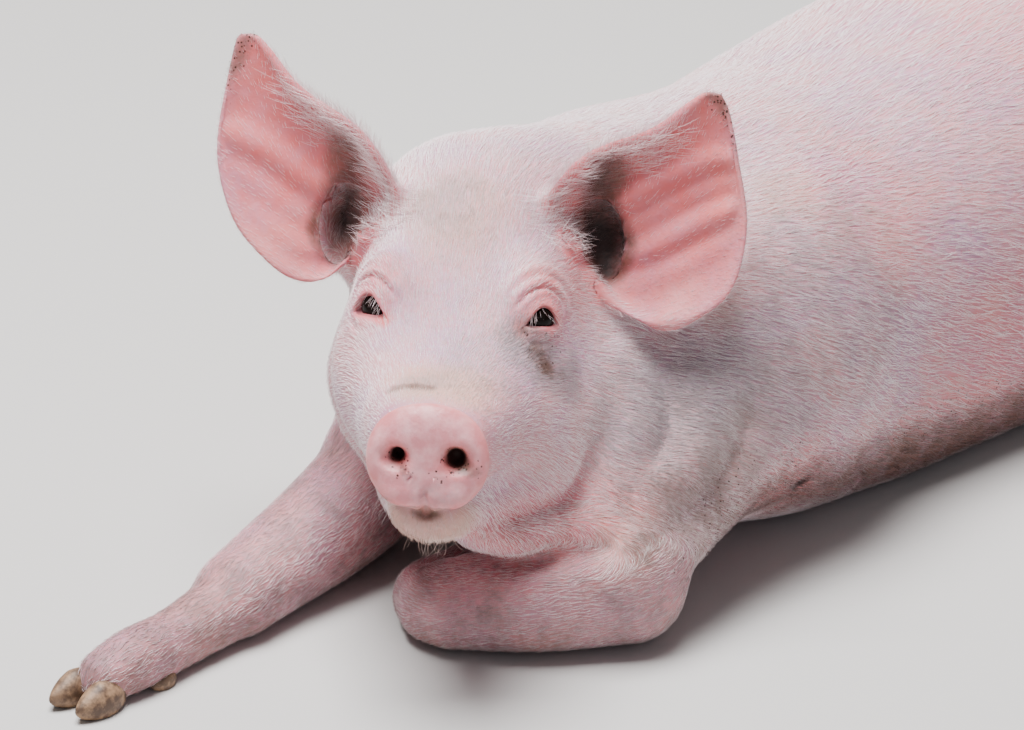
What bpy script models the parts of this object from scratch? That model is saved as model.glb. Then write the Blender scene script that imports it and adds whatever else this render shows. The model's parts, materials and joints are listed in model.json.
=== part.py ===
"""A young white domestic pig lying on its chest with its head raised a little and turned left.

The flesh is a set of named masses, limbs and one loft each for the trunk and the head. Primitives are
joined and remeshed, and the skin is then drawn onto the smooth blend of those masses. The body rests on
the floor at z = 0 and faces -Y, so its left side is +X. All lengths are in metres.
"""

import math

import bmesh
import bpy
import numpy as np
from mathutils import Matrix, Vector

# ---------------------------------------------------------------- driving dimensions
SEAM = 0.0004  # gap left between neighbouring pieces
FLOOR_ROUND = 0.010  # how softly flesh rolls onto the floor
BODY_VOXEL = 0.0046
LIMB_VOXEL, LIMB_BLEND = 0.0042, 0.010
BODY_TRIANGLES = 2050
LONGEST_EDGE = 0.075
LIMB_TRIANGLES = 180
FOOT_TRIANGLES = 120

# The head is measured from the middle of the snout disc: l to its left, f forward, u up.
SNOUT = Vector((0.1313, -0.5183, 0.1648))
HEAD_YAW, HEAD_PITCH, HEAD_ROLL = 38.8, 12.5, 1.5

DISC_WIDTH, DISC_HEIGHT, DISC_DEPTH = 0.070, 0.060, 0.011
EYE_PLACE, EYE_RADIUS, EYE_BULGE = (0.0520, -0.117, 0.0630), 0.0115, 0.0015
EAR_ROOT = (0.075, -0.183, 0.098)
EAR_TIPS = {1: (0.146, -0.178, 0.193), -1: (0.146, -0.188, 0.210)}
EAR_LOOK = (0.18, 0.97, 0.12)
EAR_INNER_RIM = (
    (-0.10, -0.028, 0.006), (0.06, -0.041, 0.012), (0.35, -0.036, 0.014), (0.64, -0.018, 0.008),
    (0.87, -0.007, 0.003), (1.00, -0.0020, 0.000),
)
EAR_OUTER_RIM = (
    (-0.16, 0.010, 0.014), (-0.20, 0.034, 0.024), (-0.14, 0.054, 0.032), (0.02, 0.066, 0.034),
    (0.28, 0.067, 0.028), (0.58, 0.051, 0.016), (0.84, 0.023, 0.006), (1.00, 0.0020, 0.000),
)
EAR_CUP, EAR_THICKNESS = 0.034, 0.0042
EAR_ROWS, EAR_COLUMNS = 10, 6
TAIL_ROOT, TAIL_RUN = (0.0, 0.447, 0.168), (0.030, 0.062, -0.060)
TAIL_THICK, TAIL_THIN, TAIL_CURL, TAIL_CURLS, TAIL_STEPS = 0.0125, 0.0040, 0.021, 1.15, 16
CLAW_SIZE, CLAW_SPREAD, CLAW_AHEAD, SOLE = (0.0190, 0.0400, 0.0260), 0.0112, 0.016, 0.55
DEWCLAW_SIZE, DEWCLAW_SPREAD, DEWCLAW_BEHIND, DEWCLAW_LIFT = (0.0110, 0.0200, 0.0140), 0.0150, 0.008, 0.018
NOSTRIL_APART, NOSTRIL_RISE, NOSTRIL_SIZE = 0.035, 0.001, (0.0056, 0.0130, 0.0048)
HEAD_BACK, HEAD_LEFT = (-0.243, -0.092), 0.095
MOUTH_LINE, JAW_BACK, SNOUT_BACK = -0.0295, -0.118, -0.046
NECK_LOW, CHEST_BACK, BELLY_BACK, THIGH_INSIDE = -0.045, 0.110, -0.135, 0.085
MATERIALS = {
    "skin": ((0.76, 0.50, 0.48), 0.62),
    "ear_skin": ((0.74, 0.33, 0.33), 0.55),
    "snout_skin": ((0.78, 0.36, 0.34), 0.42),
    "horn": ((0.42, 0.30, 0.22), 0.48),
    "eye": ((0.025, 0.014, 0.010), 0.08),
}
SLOTS = {"ear_": "ear_skin", "snout": "snout_skin", "claw": "horn", "eye": "eye"}


class Frame:
    """A place and three directions: left, forward and up."""

    def __init__(self, origin, yaw=0.0, pitch=0.0, roll=0.0):
        self.origin = Vector(origin)
        turn = Matrix.Rotation(math.radians(yaw), 3, "Z")
        turn = turn @ Matrix.Rotation(math.radians(-pitch), 3, "X")
        turn = turn @ Matrix.Rotation(math.radians(roll), 3, "Y")
        self.left, self.forward, self.up = turn.col[0].copy(), -turn.col[1], turn.col[2].copy()

    def place(self, point):
        left, forward, up = point
        return self.origin + self.left * left + self.forward * forward + self.up * up

    def direction(self, vector):
        return self.place(vector) - self.origin

    def axes(self):
        return np.array([self.left, self.forward, self.up])


HEAD = Frame(SNOUT, HEAD_YAW, HEAD_PITCH, HEAD_ROLL)
COLLAR = Frame((0.0, -0.262, 0.110), 15.0, 25.0)
WORLD = Frame((0, 0, 0))

# ---------------------------------------------------------------- shapes that flesh is made of


def smooth_min(first, second, blend):
    """The nearer of two distances, rounded off where they come within the blend of each other."""
    mix = np.clip(0.5 + 0.5 * (second - first) / blend, 0.0, 1.0)
    return second + (first - second) * mix - blend * mix * (1.0 - mix)


def smooth_path(points, steps):
    """A Catmull-Rom curve through rows of numbers, with this many steps between each two."""
    rows = np.array([2 * np.array(points[0]) - points[1], *points, 2 * np.array(points[-1]) - points[-2]], float)
    found = []
    for i in range(1, len(rows) - 2):
        before, start, end, after = rows[i - 1 : i + 3]
        for t in np.arange(steps) / steps:
            found.append(
                0.5 * (2 * start + (end - before) * t + (2 * before - 5 * start + 4 * end - after) * t**2
                       + (3 * start - before - 3 * end + after) * t**3)
            )
    return np.array(found + [rows[-2]])


class Mass:
    """A rounded lump, such as a muscle or a cheek: an ellipsoid in a frame."""

    def __init__(self, centre, radii, frame=WORLD, tilt=0.0):
        self.centre = np.array(frame.place(centre))
        turn = Matrix.Rotation(math.radians(tilt), 3, "X")
        self.axes = np.array(turn) @ frame.axes()
        self.radii = np.array(radii)
        self.reach = self.radii.max()

    def distance(self, points):
        scaled = (points - self.centre) @ self.axes.T / self.radii
        size = np.linalg.norm(scaled, axis=1) + 1e-9
        return size * (size - 1.0) / (np.linalg.norm(scaled / self.radii, axis=1) + 1e-9)

    def beads(self):
        return [(self.centre, self.axes, self.radii)]


class Limb:
    """A tapering round limb along a smooth path. Each row is left, forward, up and radius."""

    def __init__(self, rows, frame=WORLD, steps=4):
        places = [(*frame.place(row[:3]), row[3]) for row in rows]
        path = smooth_path(places, steps)
        self.ends, self.sizes = path[:, :3], path[:, 3]
        self.centre = (self.ends.min(0) + self.ends.max(0)) / 2
        self.reach = np.linalg.norm(self.ends - self.centre, axis=1).max() + self.sizes.max()

    def distance(self, points):
        nearest = np.full(len(points), np.inf)
        for a, b, size_a, size_b in zip(self.ends, self.ends[1:], self.sizes, self.sizes[1:]):
            along = np.clip((points - a) @ (b - a) / ((b - a) @ (b - a)), 0.0, 1.0)
            gap = np.linalg.norm(points - a - along[:, None] * (b - a), axis=1)
            nearest = np.minimum(nearest, gap - size_a - along * (size_b - size_a))
        return nearest

    def beads(self):
        return [(end, np.eye(3), np.full(3, size)) for end, size in zip(self.ends, self.sizes)]


class Loft:
    """A body of changing oval section. Each row is the distance back, half width, top and bottom."""

    def __init__(self, rows, frame, full_above=2.0, full_below=2.0):
        self.frame, self.table = frame, smooth_path(rows, 6)
        self.powers = full_above, full_below
        self.axes = frame.axes()
        middle = self.table[len(self.table) // 2]
        self.centre = np.array(frame.place((0, -middle[0], (middle[2] + middle[3]) / 2)))
        self.reach = np.abs(self.table[:, 0] - middle[0]).max() + self.table[:, 1:3].max()

    def distance(self, points):
        left, forward, up = ((points - np.array(self.frame.origin)) @ self.axes.T).T
        back, wide, top, bottom = self.table.T
        where = np.clip(-forward, back[0], back[-1])
        half_width = np.interp(where, back, wide)
        middle = np.interp(where, back, (top + bottom) / 2)
        half_height = np.interp(where, back, (top - bottom) / 2)
        across, rise = np.abs(left) / half_width, (up - middle) / half_height
        power = np.where(rise > 0, *self.powers)
        size = (across**power + np.abs(rise) ** power + 1e-12) ** (1 / power)
        steepness = np.hypot(across / half_width, rise / half_height) / np.maximum(np.hypot(across, rise), 1e-6)
        section = (size - 1.0) / np.maximum(steepness, 1e-6)
        end = np.maximum(back[0] + forward, -forward - back[-1])
        return np.minimum(np.maximum(section, end), 0.0) + np.hypot(np.maximum(section, 0), np.maximum(end, 0))

    def beads(self):
        half_step = np.gradient(self.table[:, 0])
        for (back, wide, top, bottom), depth in zip(self.table, half_step):
            centre = self.frame.place((0, -back, (top + bottom) / 2))
            yield np.array(centre), self.axes, np.array((wide, depth * 1.6, (top - bottom) / 2))


def blended(points, parts):
    """The distance from points to the smooth blend of (shape, blend) pairs. A negative blend carves."""
    found = np.full(len(points), 1.0)
    for shape, blend in parts:
        near = np.linalg.norm(points - shape.centre, axis=1) < shape.reach + abs(blend) + 0.03
        if not near.any():
            continue
        distance = shape.distance(points[near])
        if blend > 0:
            found[near] = smooth_min(found[near], distance, blend)
        else:
            found[near] = -smooth_min(-found[near], distance, -blend)
    return -smooth_min(-found, points[:, 2], FLOOR_ROUND)


def drawn_on(points, parts, rounds):
    """Moves points straight onto the surface of the blend."""
    step = 1e-4
    for _ in range(rounds):
        here = blended(points, parts)
        slope = np.stack([(blended(points + step * axis, parts) - here) / step for axis in np.eye(3)], 1)
        move = here / np.maximum((slope**2).sum(1), 0.2)
        points = points - np.clip(move, -0.02, 0.02)[:, None] * slope
    points[:, 2] = np.where(points[:, 2] < 0.0004, 0.0, points[:, 2])
    return points

# ---------------------------------------------------------------- the pig's own forms


def pair(make):
    """The same forms on the left (+1) and on the right (-1)."""
    return [item for side in (1, -1) for item in make(side)]


TRUNK = Loft(
    (
        (-0.290, 0.070, 0.210, 0.060),
        (-0.250, 0.108, 0.225, 0.030),
        (-0.190, 0.132, 0.228, 0.000),
        (-0.110, 0.146, 0.233, -0.016),
        (-0.020, 0.153, 0.248, -0.018),
        (0.080, 0.158, 0.262, -0.018),
        (0.180, 0.154, 0.268, -0.014),
        (0.280, 0.140, 0.262, 0.000),
        (0.360, 0.120, 0.243, 0.015),
        (0.415, 0.092, 0.214, 0.045),
        (0.445, 0.060, 0.186, 0.075),
    ),
    WORLD,
    full_above=2.15,
    full_below=3.6,
)
FACE = Loft(
    (
        (0.004, 0.0320, 0.0285, -0.0265),
        (0.018, 0.0325, 0.0285, -0.0265),
        (0.045, 0.0425, 0.0350, -0.0310),
        (0.075, 0.0515, 0.0430, -0.0360),
        (0.100, 0.0550, 0.0550, -0.0400),
        (0.125, 0.0585, 0.0760, -0.0450),
        (0.150, 0.0620, 0.1000, -0.0500),
        (0.180, 0.0670, 0.1200, -0.0540),
        (0.210, 0.0675, 0.1290, -0.0540),
        (0.240, 0.0620, 0.1280, -0.0480),
    ),
    HEAD,
    full_above=2.5,
    full_below=2.2,
)
DISC = Loft(
    (
        (-0.0030, 0.0290, 0.0250, -0.0240),
        (0.0010, 0.0335, 0.0290, -0.0280),
        (0.0060, DISC_WIDTH / 2, DISC_HEIGHT / 2, -DISC_HEIGHT / 2),
        (DISC_DEPTH, 0.0335, 0.0290, -0.0280),
    ),
    HEAD,
)


def head_forms():
    """The skull, the muscles over it and the soft parts of the face."""
    forms = [
        (FACE, 0.040),
        (DISC, 0.005),
        (Mass((0, -0.044, -0.038), (0.027, 0.036, 0.0185), HEAD), 0.010),  # chin
    ]
    forms += pair(lambda s: [
        (Limb(((0.014 * s, -0.060, -0.045, 0.0180), (0.030 * s, -0.110, -0.050, 0.0300),
               (0.038 * s, -0.165, -0.050, 0.0390)), HEAD), 0.020),  # jaw and jowl
        (Mass((0.041 * s, -0.150, -0.008), (0.038, 0.062, 0.052), HEAD), 0.030),  # masseter
        (Mass((0.041 * s, -0.138, 0.066), (0.015, 0.026, 0.023), HEAD), 0.026),  # rim of the eye socket
        (Limb(((0.038 * s, -0.218, 0.074, 0.030), (0.068 * s, -0.218, 0.088, 0.022)), HEAD), 0.020),  # ear base
    ])
    return forms


def torso_forms():
    """The trunk, neck, shoulders, upper arms and hams."""
    forms = [
        (TRUNK, 0.030),
        (Limb(((-0.012, 0.330, 0.195, 0.071), (-0.008, 0.285, 0.188, 0.072), (-0.008, 0.200, 0.160, 0.076),
               (-0.005, 0.120, 0.152, 0.076))), 0.050),  # nape
        (Limb(((0.045, 0.350, 0.116, 0.062), (0.030, 0.310, 0.110, 0.072),
               (0.010, 0.230, 0.095, 0.085))), 0.050),  # brisket
        (Limb(((0.060, 0.250, 0.155, 0.055), (0.085, 0.300, 0.112, 0.048),
               (0.100, 0.340, 0.078, 0.042))), 0.050),  # side of the neck down to the left arm
        (Mass((0.0, -0.410, 0.180), (0.050, 0.045, 0.050)), 0.040),  # tail head
        (Limb(((0.100, 0.200, 0.105, 0.062), (0.118, 0.290, 0.085, 0.050),
               (0.140, 0.372, 0.052, 0.038))), 0.040),  # left upper arm
        (Limb(((-0.100, 0.230, 0.105, 0.060), (-0.082, 0.310, 0.078, 0.047),
               (-0.060, 0.368, 0.054, 0.040))), 0.035),  # right upper arm
    ]
    forms += pair(lambda s: [
        (Mass((0.085 * s, 0.185, 0.115), (0.064, 0.095, 0.092)), 0.050),  # shoulder
        (Mass((0.078 * s, -0.315, 0.108), (0.070, 0.122, 0.102)), 0.045),  # ham
        (Mass((0.118 * s, -0.175, 0.080), (0.050, 0.090, 0.070)), 0.040),  # stifle
        (Limb(((0.112 * s, -0.150, 0.085, 0.060), (0.134 * s, -0.215, 0.068, 0.052),
               (0.148 * s, -0.268, 0.046, 0.040))), 0.045),  # gaskin
    ])
    return forms


LIMBS = {
    "forearm_left": ((0.141, 0.366, 0.036, 0.0385), (0.112, 0.410, 0.032, 0.0350), (0.078, 0.442, 0.0255, 0.029)),
    "forearm_right": ((-0.060, 0.366, 0.044, 0.040), (-0.043, 0.436, 0.034, 0.0345), (-0.029, 0.520, 0.0235, 0.0275)),
    "shank_left": ((0.140, -0.215, 0.068, 0.042), (0.152, -0.256, 0.048, 0.037), (0.164, -0.302, 0.0265, 0.0285)),
    "shank_right": ((-0.138, -0.225, 0.068, 0.042), (-0.150, -0.266, 0.048, 0.037), (-0.161, -0.312, 0.0265, 0.0285)),
}
FEET = {
    "forefoot_left": (
        (0.062, 0.446, 0.0205, 0.0235), (0.042, 0.432, 0.0165, 0.0215), (0.032, 0.398, 0.0130, 0.0180),
        (0.031, 0.366, 0.0140, 0.0190), (0.034, 0.342, 0.0130, 0.0180),
    ),
    "forefoot_right": (
        (-0.026, 0.534, 0.0195, 0.0225), (-0.022, 0.578, 0.0150, 0.0200), (-0.019, 0.612, 0.0150, 0.0205),
        (-0.018, 0.634, 0.0130, 0.0180),
    ),
    "hindfoot_left": (
        (0.171, -0.304, 0.0200, 0.0225), (0.180, -0.262, 0.0150, 0.0200), (0.183, -0.218, 0.0130, 0.0180),
        (0.184, -0.186, 0.0145, 0.0195), (0.182, -0.162, 0.0130, 0.0180),
    ),
    "hindfoot_right": (
        (-0.168, -0.314, 0.0200, 0.0225), (-0.177, -0.272, 0.0150, 0.0200), (-0.181, -0.228, 0.0130, 0.0180),
        (-0.183, -0.196, 0.0145, 0.0195), (-0.183, -0.172, 0.0130, 0.0180),
    ),
}

# ---------------------------------------------------------------- objects and how they are cut


def collection(name):
    found = bpy.data.collections.new(name)
    bpy.context.scene.collection.children.link(found)
    return found


def put(name, mesh, place):
    thing = bpy.data.objects.new(name, mesh)
    place.objects.link(thing)
    if place is CUTTERS:
        thing.hide_render = True
        thing.display_type = "WIRE"
    return thing


def settled(thing):
    """Replaces an object's mesh by what its modifiers make of it."""
    made = bpy.data.meshes.new_from_object(thing.evaluated_get(bpy.context.evaluated_depsgraph_get()))
    thing.modifiers.clear()
    thing.data = made
    return thing


def mesh_points(mesh):
    found = np.empty(len(mesh.vertices) * 3)
    mesh.vertices.foreach_get("co", found)
    return found.reshape(-1, 3)


def set_points(mesh, points):
    mesh.vertices.foreach_set("co", points.astype(np.float32).ravel())
    mesh.update()


def grown(thing, by=SEAM):
    """A copy of an object as a cutter, a hair larger, so that it leaves a thin gap."""
    copy = put(thing.name + "_cutter", thing.data.copy(), CUTTERS)
    normals = np.array([vertex.normal for vertex in copy.data.vertices])
    set_points(copy.data, mesh_points(copy.data) + by * normals)
    return copy


def cut(thing, cutter, operation="DIFFERENCE"):
    """Cuts with the exact solver, or with the manifold one where the exact one leaves nothing."""
    uncut = thing.data
    for solver in ("EXACT", "MANIFOLD"):
        step = thing.modifiers.new("cut", "BOOLEAN")
        step.operation = operation
        step.solver = solver
        step.object = cutter
        if settled(thing).data.vertices:
            break
        thing.data = uncut
    return thing


def block(name, frame, low, high):
    """A box between two corners given as left, forward and up in a frame."""
    low, high = Vector(low), Vector(high)
    bm = bmesh.new()
    bmesh.ops.create_cube(bm, size=1.0)
    for vertex in bm.verts:
        part = Vector((vertex.co[i] + 0.5 for i in range(3)))
        vertex.co = frame.place([low[i] + (high[i] - low[i]) * part[i] for i in range(3)])
    bmesh.ops.reverse_faces(bm, faces=bm.faces)  # forward runs along -Y, which turns the box inside out
    mesh = bpy.data.meshes.new(name)
    bm.to_mesh(mesh)
    bm.free()
    return put(name, mesh, CUTTERS)


def largest_body(thing):
    """Drops crumbs that a cut has left."""
    bm = bmesh.new()
    bm.from_mesh(thing.data)
    unseen, bodies = set(bm.verts), []
    while unseen:
        stack, body = [unseen.pop()], []
        while stack:
            vertex = stack.pop()
            body.append(vertex)
            for edge in vertex.link_edges:
                other = edge.other_vert(vertex)
                if other in unseen:
                    unseen.remove(other)
                    stack.append(other)
        bodies.append(body)
    bodies.sort(key=len)
    bmesh.ops.delete(bm, geom=[vertex for body in bodies[:-1] for vertex in body], context="VERTS")
    bm.to_mesh(thing.data)
    bm.free()
    return thing


def part_off(name, rest, region):
    """Takes what lies inside a region off the rest as a piece of its own, past a thin cut."""
    piece = put(name, rest.data.copy(), PIG)
    cut(piece, region, "INTERSECT")
    cut(rest, grown(region))
    return largest_body(piece)


def flesh(name, parts, voxel, triangles, fine=None):
    """A closed mesh of the blend of parts, with this many triangles, most of them where it is fine."""
    bm = bmesh.new()
    for shape, blend in parts:
        for centre, axes, radii in shape.beads() if blend > 0 else ():
            ball = bmesh.ops.create_icosphere(bm, subdivisions=2, radius=1.0)["verts"]
            for vertex in ball:
                vertex.co = centre + (np.array(vertex.co) * radii) @ axes
    mesh = bpy.data.meshes.new(name)
    bm.to_mesh(mesh)
    bm.free()
    thing = put(name, mesh, PIG)
    for size in (voxel * 1.3, voxel):
        remesh = thing.modifiers.new("remesh", "REMESH")
        remesh.mode = "VOXEL"
        remesh.voxel_size = size
        settled(thing)
        set_points(thing.data, drawn_on(mesh_points(thing.data), parts, 4))
    decimate = thing.modifiers.new("decimate", "DECIMATE")
    decimate.ratio = triangles / sum(len(face.vertices) - 2 for face in thing.data.polygons)
    if fine:
        group = thing.vertex_groups.new(name="plain")
        for vertex in thing.data.vertices:
            group.add([vertex.index], fine(vertex.co), "REPLACE")
        decimate.vertex_group = group.name
    settled(thing)
    set_points(thing.data, drawn_on(mesh_points(thing.data), parts, 3))
    halve_long_edges(thing.data)
    set_points(thing.data, drawn_on(mesh_points(thing.data), parts, 3))
    return thing


def halve_long_edges(mesh):
    """Adds points on wide facets, so that a broad curve or flat is still followed closely."""
    bm = bmesh.new()
    bm.from_mesh(mesh)
    long_edges = [edge for edge in bm.edges if edge.calc_length() > LONGEST_EDGE]
    bmesh.ops.subdivide_edges(bm, edges=long_edges, cuts=1)
    bmesh.ops.triangulate(bm, faces=[face for face in bm.faces if len(face.verts) > 3])
    bm.to_mesh(mesh)
    bm.free()


def face_detail(point):
    """How far a place is from the snout, as the share of its triangles that may go."""
    away = (Vector(point) - HEAD.place((0, -0.06, 0.02))).length
    return min(max((away - 0.05) / 0.15, 0.0), 1.0) * 0.6 + 0.4


# ---------------------------------------------------------------- ears, eyes, claws and tail


def ear(name, side):
    """A leaf-shaped ear on its own axis, cupped round its opening."""
    root, tip = (HEAD.place((side * place[0], *place[1:])) for place in (EAR_ROOT, EAR_TIPS[side]))
    axis = (tip - root).normalized()
    length = (tip - root).length
    look = HEAD.direction((side * EAR_LOOK[0], *EAR_LOOK[1:]))
    look = (look - axis * look.dot(axis)).normalized()
    out = axis.cross(look) * side
    rims = [smooth_path(rim, 8) for rim in (EAR_INNER_RIM, EAR_OUTER_RIM)]
    bm = bmesh.new()
    bmesh.ops.create_grid(bm, x_segments=EAR_ROWS, y_segments=EAR_COLUMNS, size=1.0)
    for vertex in bm.verts:
        along, across = (vertex.co.x + 1) / 2, (vertex.co.y + 1) / 2
        inner, outer = (
            np.array([np.interp(along * (len(rim) - 1), range(len(rim)), column) for column in rim.T]) for rim in rims
        )
        place = inner + (outer - inner) * across
        place[2] -= EAR_CUP * (1 - along) ** 1.3 * math.sin(math.pi * across) ** 0.8
        vertex.co = root + axis * (place[0] * length) + out * place[1] + look * place[2]
    mesh = bpy.data.meshes.new(name)
    bm.to_mesh(mesh)
    bm.free()
    thing = put(name, mesh, PIG)
    shell = thing.modifiers.new("shell", "SOLIDIFY")
    shell.thickness = EAR_THICKNESS
    shell.offset = 0.0
    shell.use_even_offset = True
    settled(thing)
    return thing


def oval(name, centre, radii, place, segments=10):
    """An ellipsoid whose three radii run along the head's left, forward and up."""
    bm = bmesh.new()
    bmesh.ops.create_uvsphere(bm, u_segments=segments, v_segments=segments // 2, radius=1.0)
    for vertex in bm.verts:
        vertex.co = centre + HEAD.direction([vertex.co[i] * radii[i] for i in range(3)])
    bmesh.ops.reverse_faces(bm, faces=bm.faces)
    mesh = bpy.data.meshes.new(name)
    bm.to_mesh(mesh)
    bm.free()
    return put(name, mesh, place)


def claw(name, at, heading, up, size, sides, place):
    """A horn claw: a blunt wedge with a flat sole, its size given as width, length and height."""
    heading = Vector(heading).normalized()
    side = heading.cross(Vector(up)).normalized()
    up = side.cross(heading)
    bm = bmesh.new()
    bmesh.ops.create_uvsphere(bm, u_segments=sides, v_segments=sides // 2 + 1, radius=1.0)
    for vertex in bm.verts:
        x, y, z = vertex.co
        narrowed = 1.0 - 0.42 * max(y, 0.0) ** 2
        lowered = 1.0 - 0.45 * max(y, 0.0)
        x, z = x * narrowed, max(z * lowered, -SOLE)
        vertex.co = Vector(at) + side * (x * size[0] / 2) + heading * (y * size[1] / 2) + up * (z * size[2] / 2)
    mesh = bpy.data.meshes.new(name)
    bm.to_mesh(mesh)
    bm.free()
    return put(name, mesh, place)


def tail():
    """A tapering tail with one loose curl."""
    curve = bpy.data.curves.new("tail", "CURVE")
    curve.dimensions = "3D"
    curve.bevel_depth = 1.0
    curve.bevel_resolution = 2
    curve.use_fill_caps = True
    line = curve.splines.new("POLY")
    line.points.add(TAIL_STEPS)
    for i, point in enumerate(line.points):
        t = i / TAIL_STEPS
        turn = math.tau * TAIL_CURLS * t
        reach = TAIL_CURL * min(t * 4.0, 1.0)
        place = Vector(TAIL_ROOT) + Vector(TAIL_RUN) * t + Vector((reach * math.sin(turn), 0, reach * math.cos(turn)))
        point.co = (*place, 1.0)
        point.radius = TAIL_THICK + (TAIL_THIN - TAIL_THICK) * t
    return settled_curve("tail", curve)


def settled_curve(name, curve):
    """The mesh of a tube, with its caps welded on."""
    wire = bpy.data.objects.new(name + "_path", curve)
    CUTTERS.objects.link(wire)
    mesh = bpy.data.meshes.new_from_object(wire.evaluated_get(bpy.context.evaluated_depsgraph_get()))
    bpy.data.objects.remove(wire)
    bm = bmesh.new()
    bm.from_mesh(mesh)
    bmesh.ops.remove_doubles(bm, verts=bm.verts, dist=1e-5)
    bmesh.ops.recalc_face_normals(bm, faces=bm.faces)
    bm.to_mesh(mesh)
    bm.free()
    return put(name, mesh, PIG)


def surface_direction(point, parts):
    """Straight out of the surface at a point."""
    steps = np.vstack([np.eye(3), -np.eye(3)]) * 1e-4
    found = blended(np.array(point) + steps, parts)
    return Vector(found[:3] - found[3:]).normalized()


def make_legs(rest):
    """Forearms, shanks and feet, each let into what it grows from, with their claws."""
    for (limb_name, limb_path), (foot_name, foot_path) in zip(LIMBS.items(), FEET.items()):
        limb = flesh(limb_name, [(Limb(limb_path), LIMB_BLEND)], LIMB_VOXEL, LIMB_TRIANGLES)
        foot = flesh(foot_name, [(Limb(foot_path), LIMB_BLEND)], LIMB_VOXEL, FOOT_TRIANGLES)
        cut(foot, grown(limb))
        cut(rest, grown(limb))
        cut(rest, grown(foot))
        make_claws(largest_body(foot), foot_path, folded_back=foot_name == "forefoot_left")


def make_claws(foot, path, folded_back):
    """Two toes that bear the foot and two small ones behind; a foot folded back has its soles up."""
    end, before = (Vector(WORLD.place(row[:3])) for row in (path[-1], path[-2]))
    heading = end - before
    heading.z = 0.0
    heading.normalize()
    up = Vector((0, 0, -1 if folded_back else 1))
    across = heading.cross(up)
    for label, way in (("outer", 1), ("inner", -1)):
        spur = before - heading * DEWCLAW_BEHIND + across * (DEWCLAW_SPREAD * way)
        spur.z = DEWCLAW_SIZE[2] / 2 * SOLE + (DEWCLAW_LIFT if folded_back else 0.0)
        cut(foot, claw(foot.name + "_dewclaw", spur, heading, up, DEWCLAW_SIZE, 6, CUTTERS), "UNION")
        toe = end + heading * CLAW_AHEAD + across * (CLAW_SPREAD * way)
        toe.z = CLAW_SIZE[2] / 2 * (1.0 if folded_back else SOLE)
        cut(foot, grown(claw(foot.name + "_claw_" + label, toe, heading, up, CLAW_SIZE, 8, PIG)))


def make_eyes_and_ears(rest):
    for side, label in ((1, "left"), (-1, "right")):
        skin = drawn_on(np.array([HEAD.place((side * EYE_PLACE[0], *EYE_PLACE[1:]))]), FORMS, 8)[0]
        centre = Vector(skin) - surface_direction(skin, FORMS) * (EYE_RADIUS - EYE_BULGE)
        cut(rest, grown(oval("eye_" + label, centre, (EYE_RADIUS,) * 3, PIG)))
        leaf = ear("ear_" + label, side)
        cut(leaf, grown(rest))
        largest_body(leaf)


def make_regions(rest):
    """Parts the head, neck and trunk with thin cuts. What stays of the rest is the rump."""
    far = 0.60
    head = part_off("head", rest, block("head_region", HEAD, (-far, *HEAD_BACK), (HEAD_LEFT, far, far)))
    part_off("jaw", head, block("jaw_region", HEAD, (-far, JAW_BACK, -far), (far, far, MOUTH_LINE)))
    snout = part_off("snout", head, block("snout_region", HEAD, (-far, SNOUT_BACK, -far), (far, far, far)))
    for side in (1, -1):
        centre = HEAD.place((side * NOSTRIL_APART / 2, 0.0, NOSTRIL_RISE))
        cut(snout, oval("nostril", centre, NOSTRIL_SIZE, CUTTERS))
    part_off("neck", rest, block("neck_region", COLLAR, (-far, 0.0, NECK_LOW), (far, far, far)))
    part_off("chest", rest, block("chest_region", WORLD, (-far, CHEST_BACK, -far), (far, far, far)))
    part_off("belly", rest, block("belly_region", WORLD, (-far, BELLY_BACK, -far), (far, far, far)))
    for side, label in ((1, "left"), (-1, "right")):
        low, high = sorted((side * THIGH_INSIDE, side * far))
        part_off("thigh_" + label, rest, block("thigh_region", WORLD, (low, -far, -far), (high, far, far)))


def finish():
    """Gives every piece its material and smooth shading."""
    made = {}
    for slot, (colour, roughness) in MATERIALS.items():
        material = bpy.data.materials.new(slot)
        material.use_nodes = True
        shader = material.node_tree.nodes["Principled BSDF"]
        shader.inputs["Base Color"].default_value = (*colour, 1.0)
        shader.inputs["Roughness"].default_value = roughness
        shader.inputs["Metallic"].default_value = 0.0
        made[slot] = material
    for thing in PIG.objects:
        slot = next((slot for word, slot in SLOTS.items() if word in thing.name), "skin")
        thing.data.materials.clear()
        thing.data.materials.append(made[slot])
        thing.data.shade_smooth()
        thing.data.set_sharp_from_angle(angle=math.radians(50))


for thing in list(bpy.data.objects):
    bpy.data.objects.remove(thing)
PIG = collection("pig")
CUTTERS = collection("cutters")
FORMS = torso_forms() + head_forms()

rump = flesh("rump", FORMS, BODY_VOXEL, BODY_TRIANGLES, face_detail)
make_legs(rump)
cut(tail(), grown(rump))
make_eyes_and_ears(rump)
make_regions(rump)
finish()
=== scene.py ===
"""A young white domestic pig lying on its chest: skin, bristles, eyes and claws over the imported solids.

The skin is one closed mesh. Named masses, limbs and lofts are blended into a distance field, and a mesh
is drawn onto the surface where that field is zero. Bristles then grow on the skin along the lie of the
coat. The body rests on the floor at z = 0 and faces -Y, so its left side is +X. Lengths are in metres.
"""

from __future__ import annotations

import json
import logging
import math
from collections.abc import Callable, Iterable, Sequence
from dataclasses import dataclass, field
from enum import Enum

import bmesh
import bpy
import numpy as np
from mathutils import Matrix, Vector
from mathutils.bvhtree import BVHTree

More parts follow.
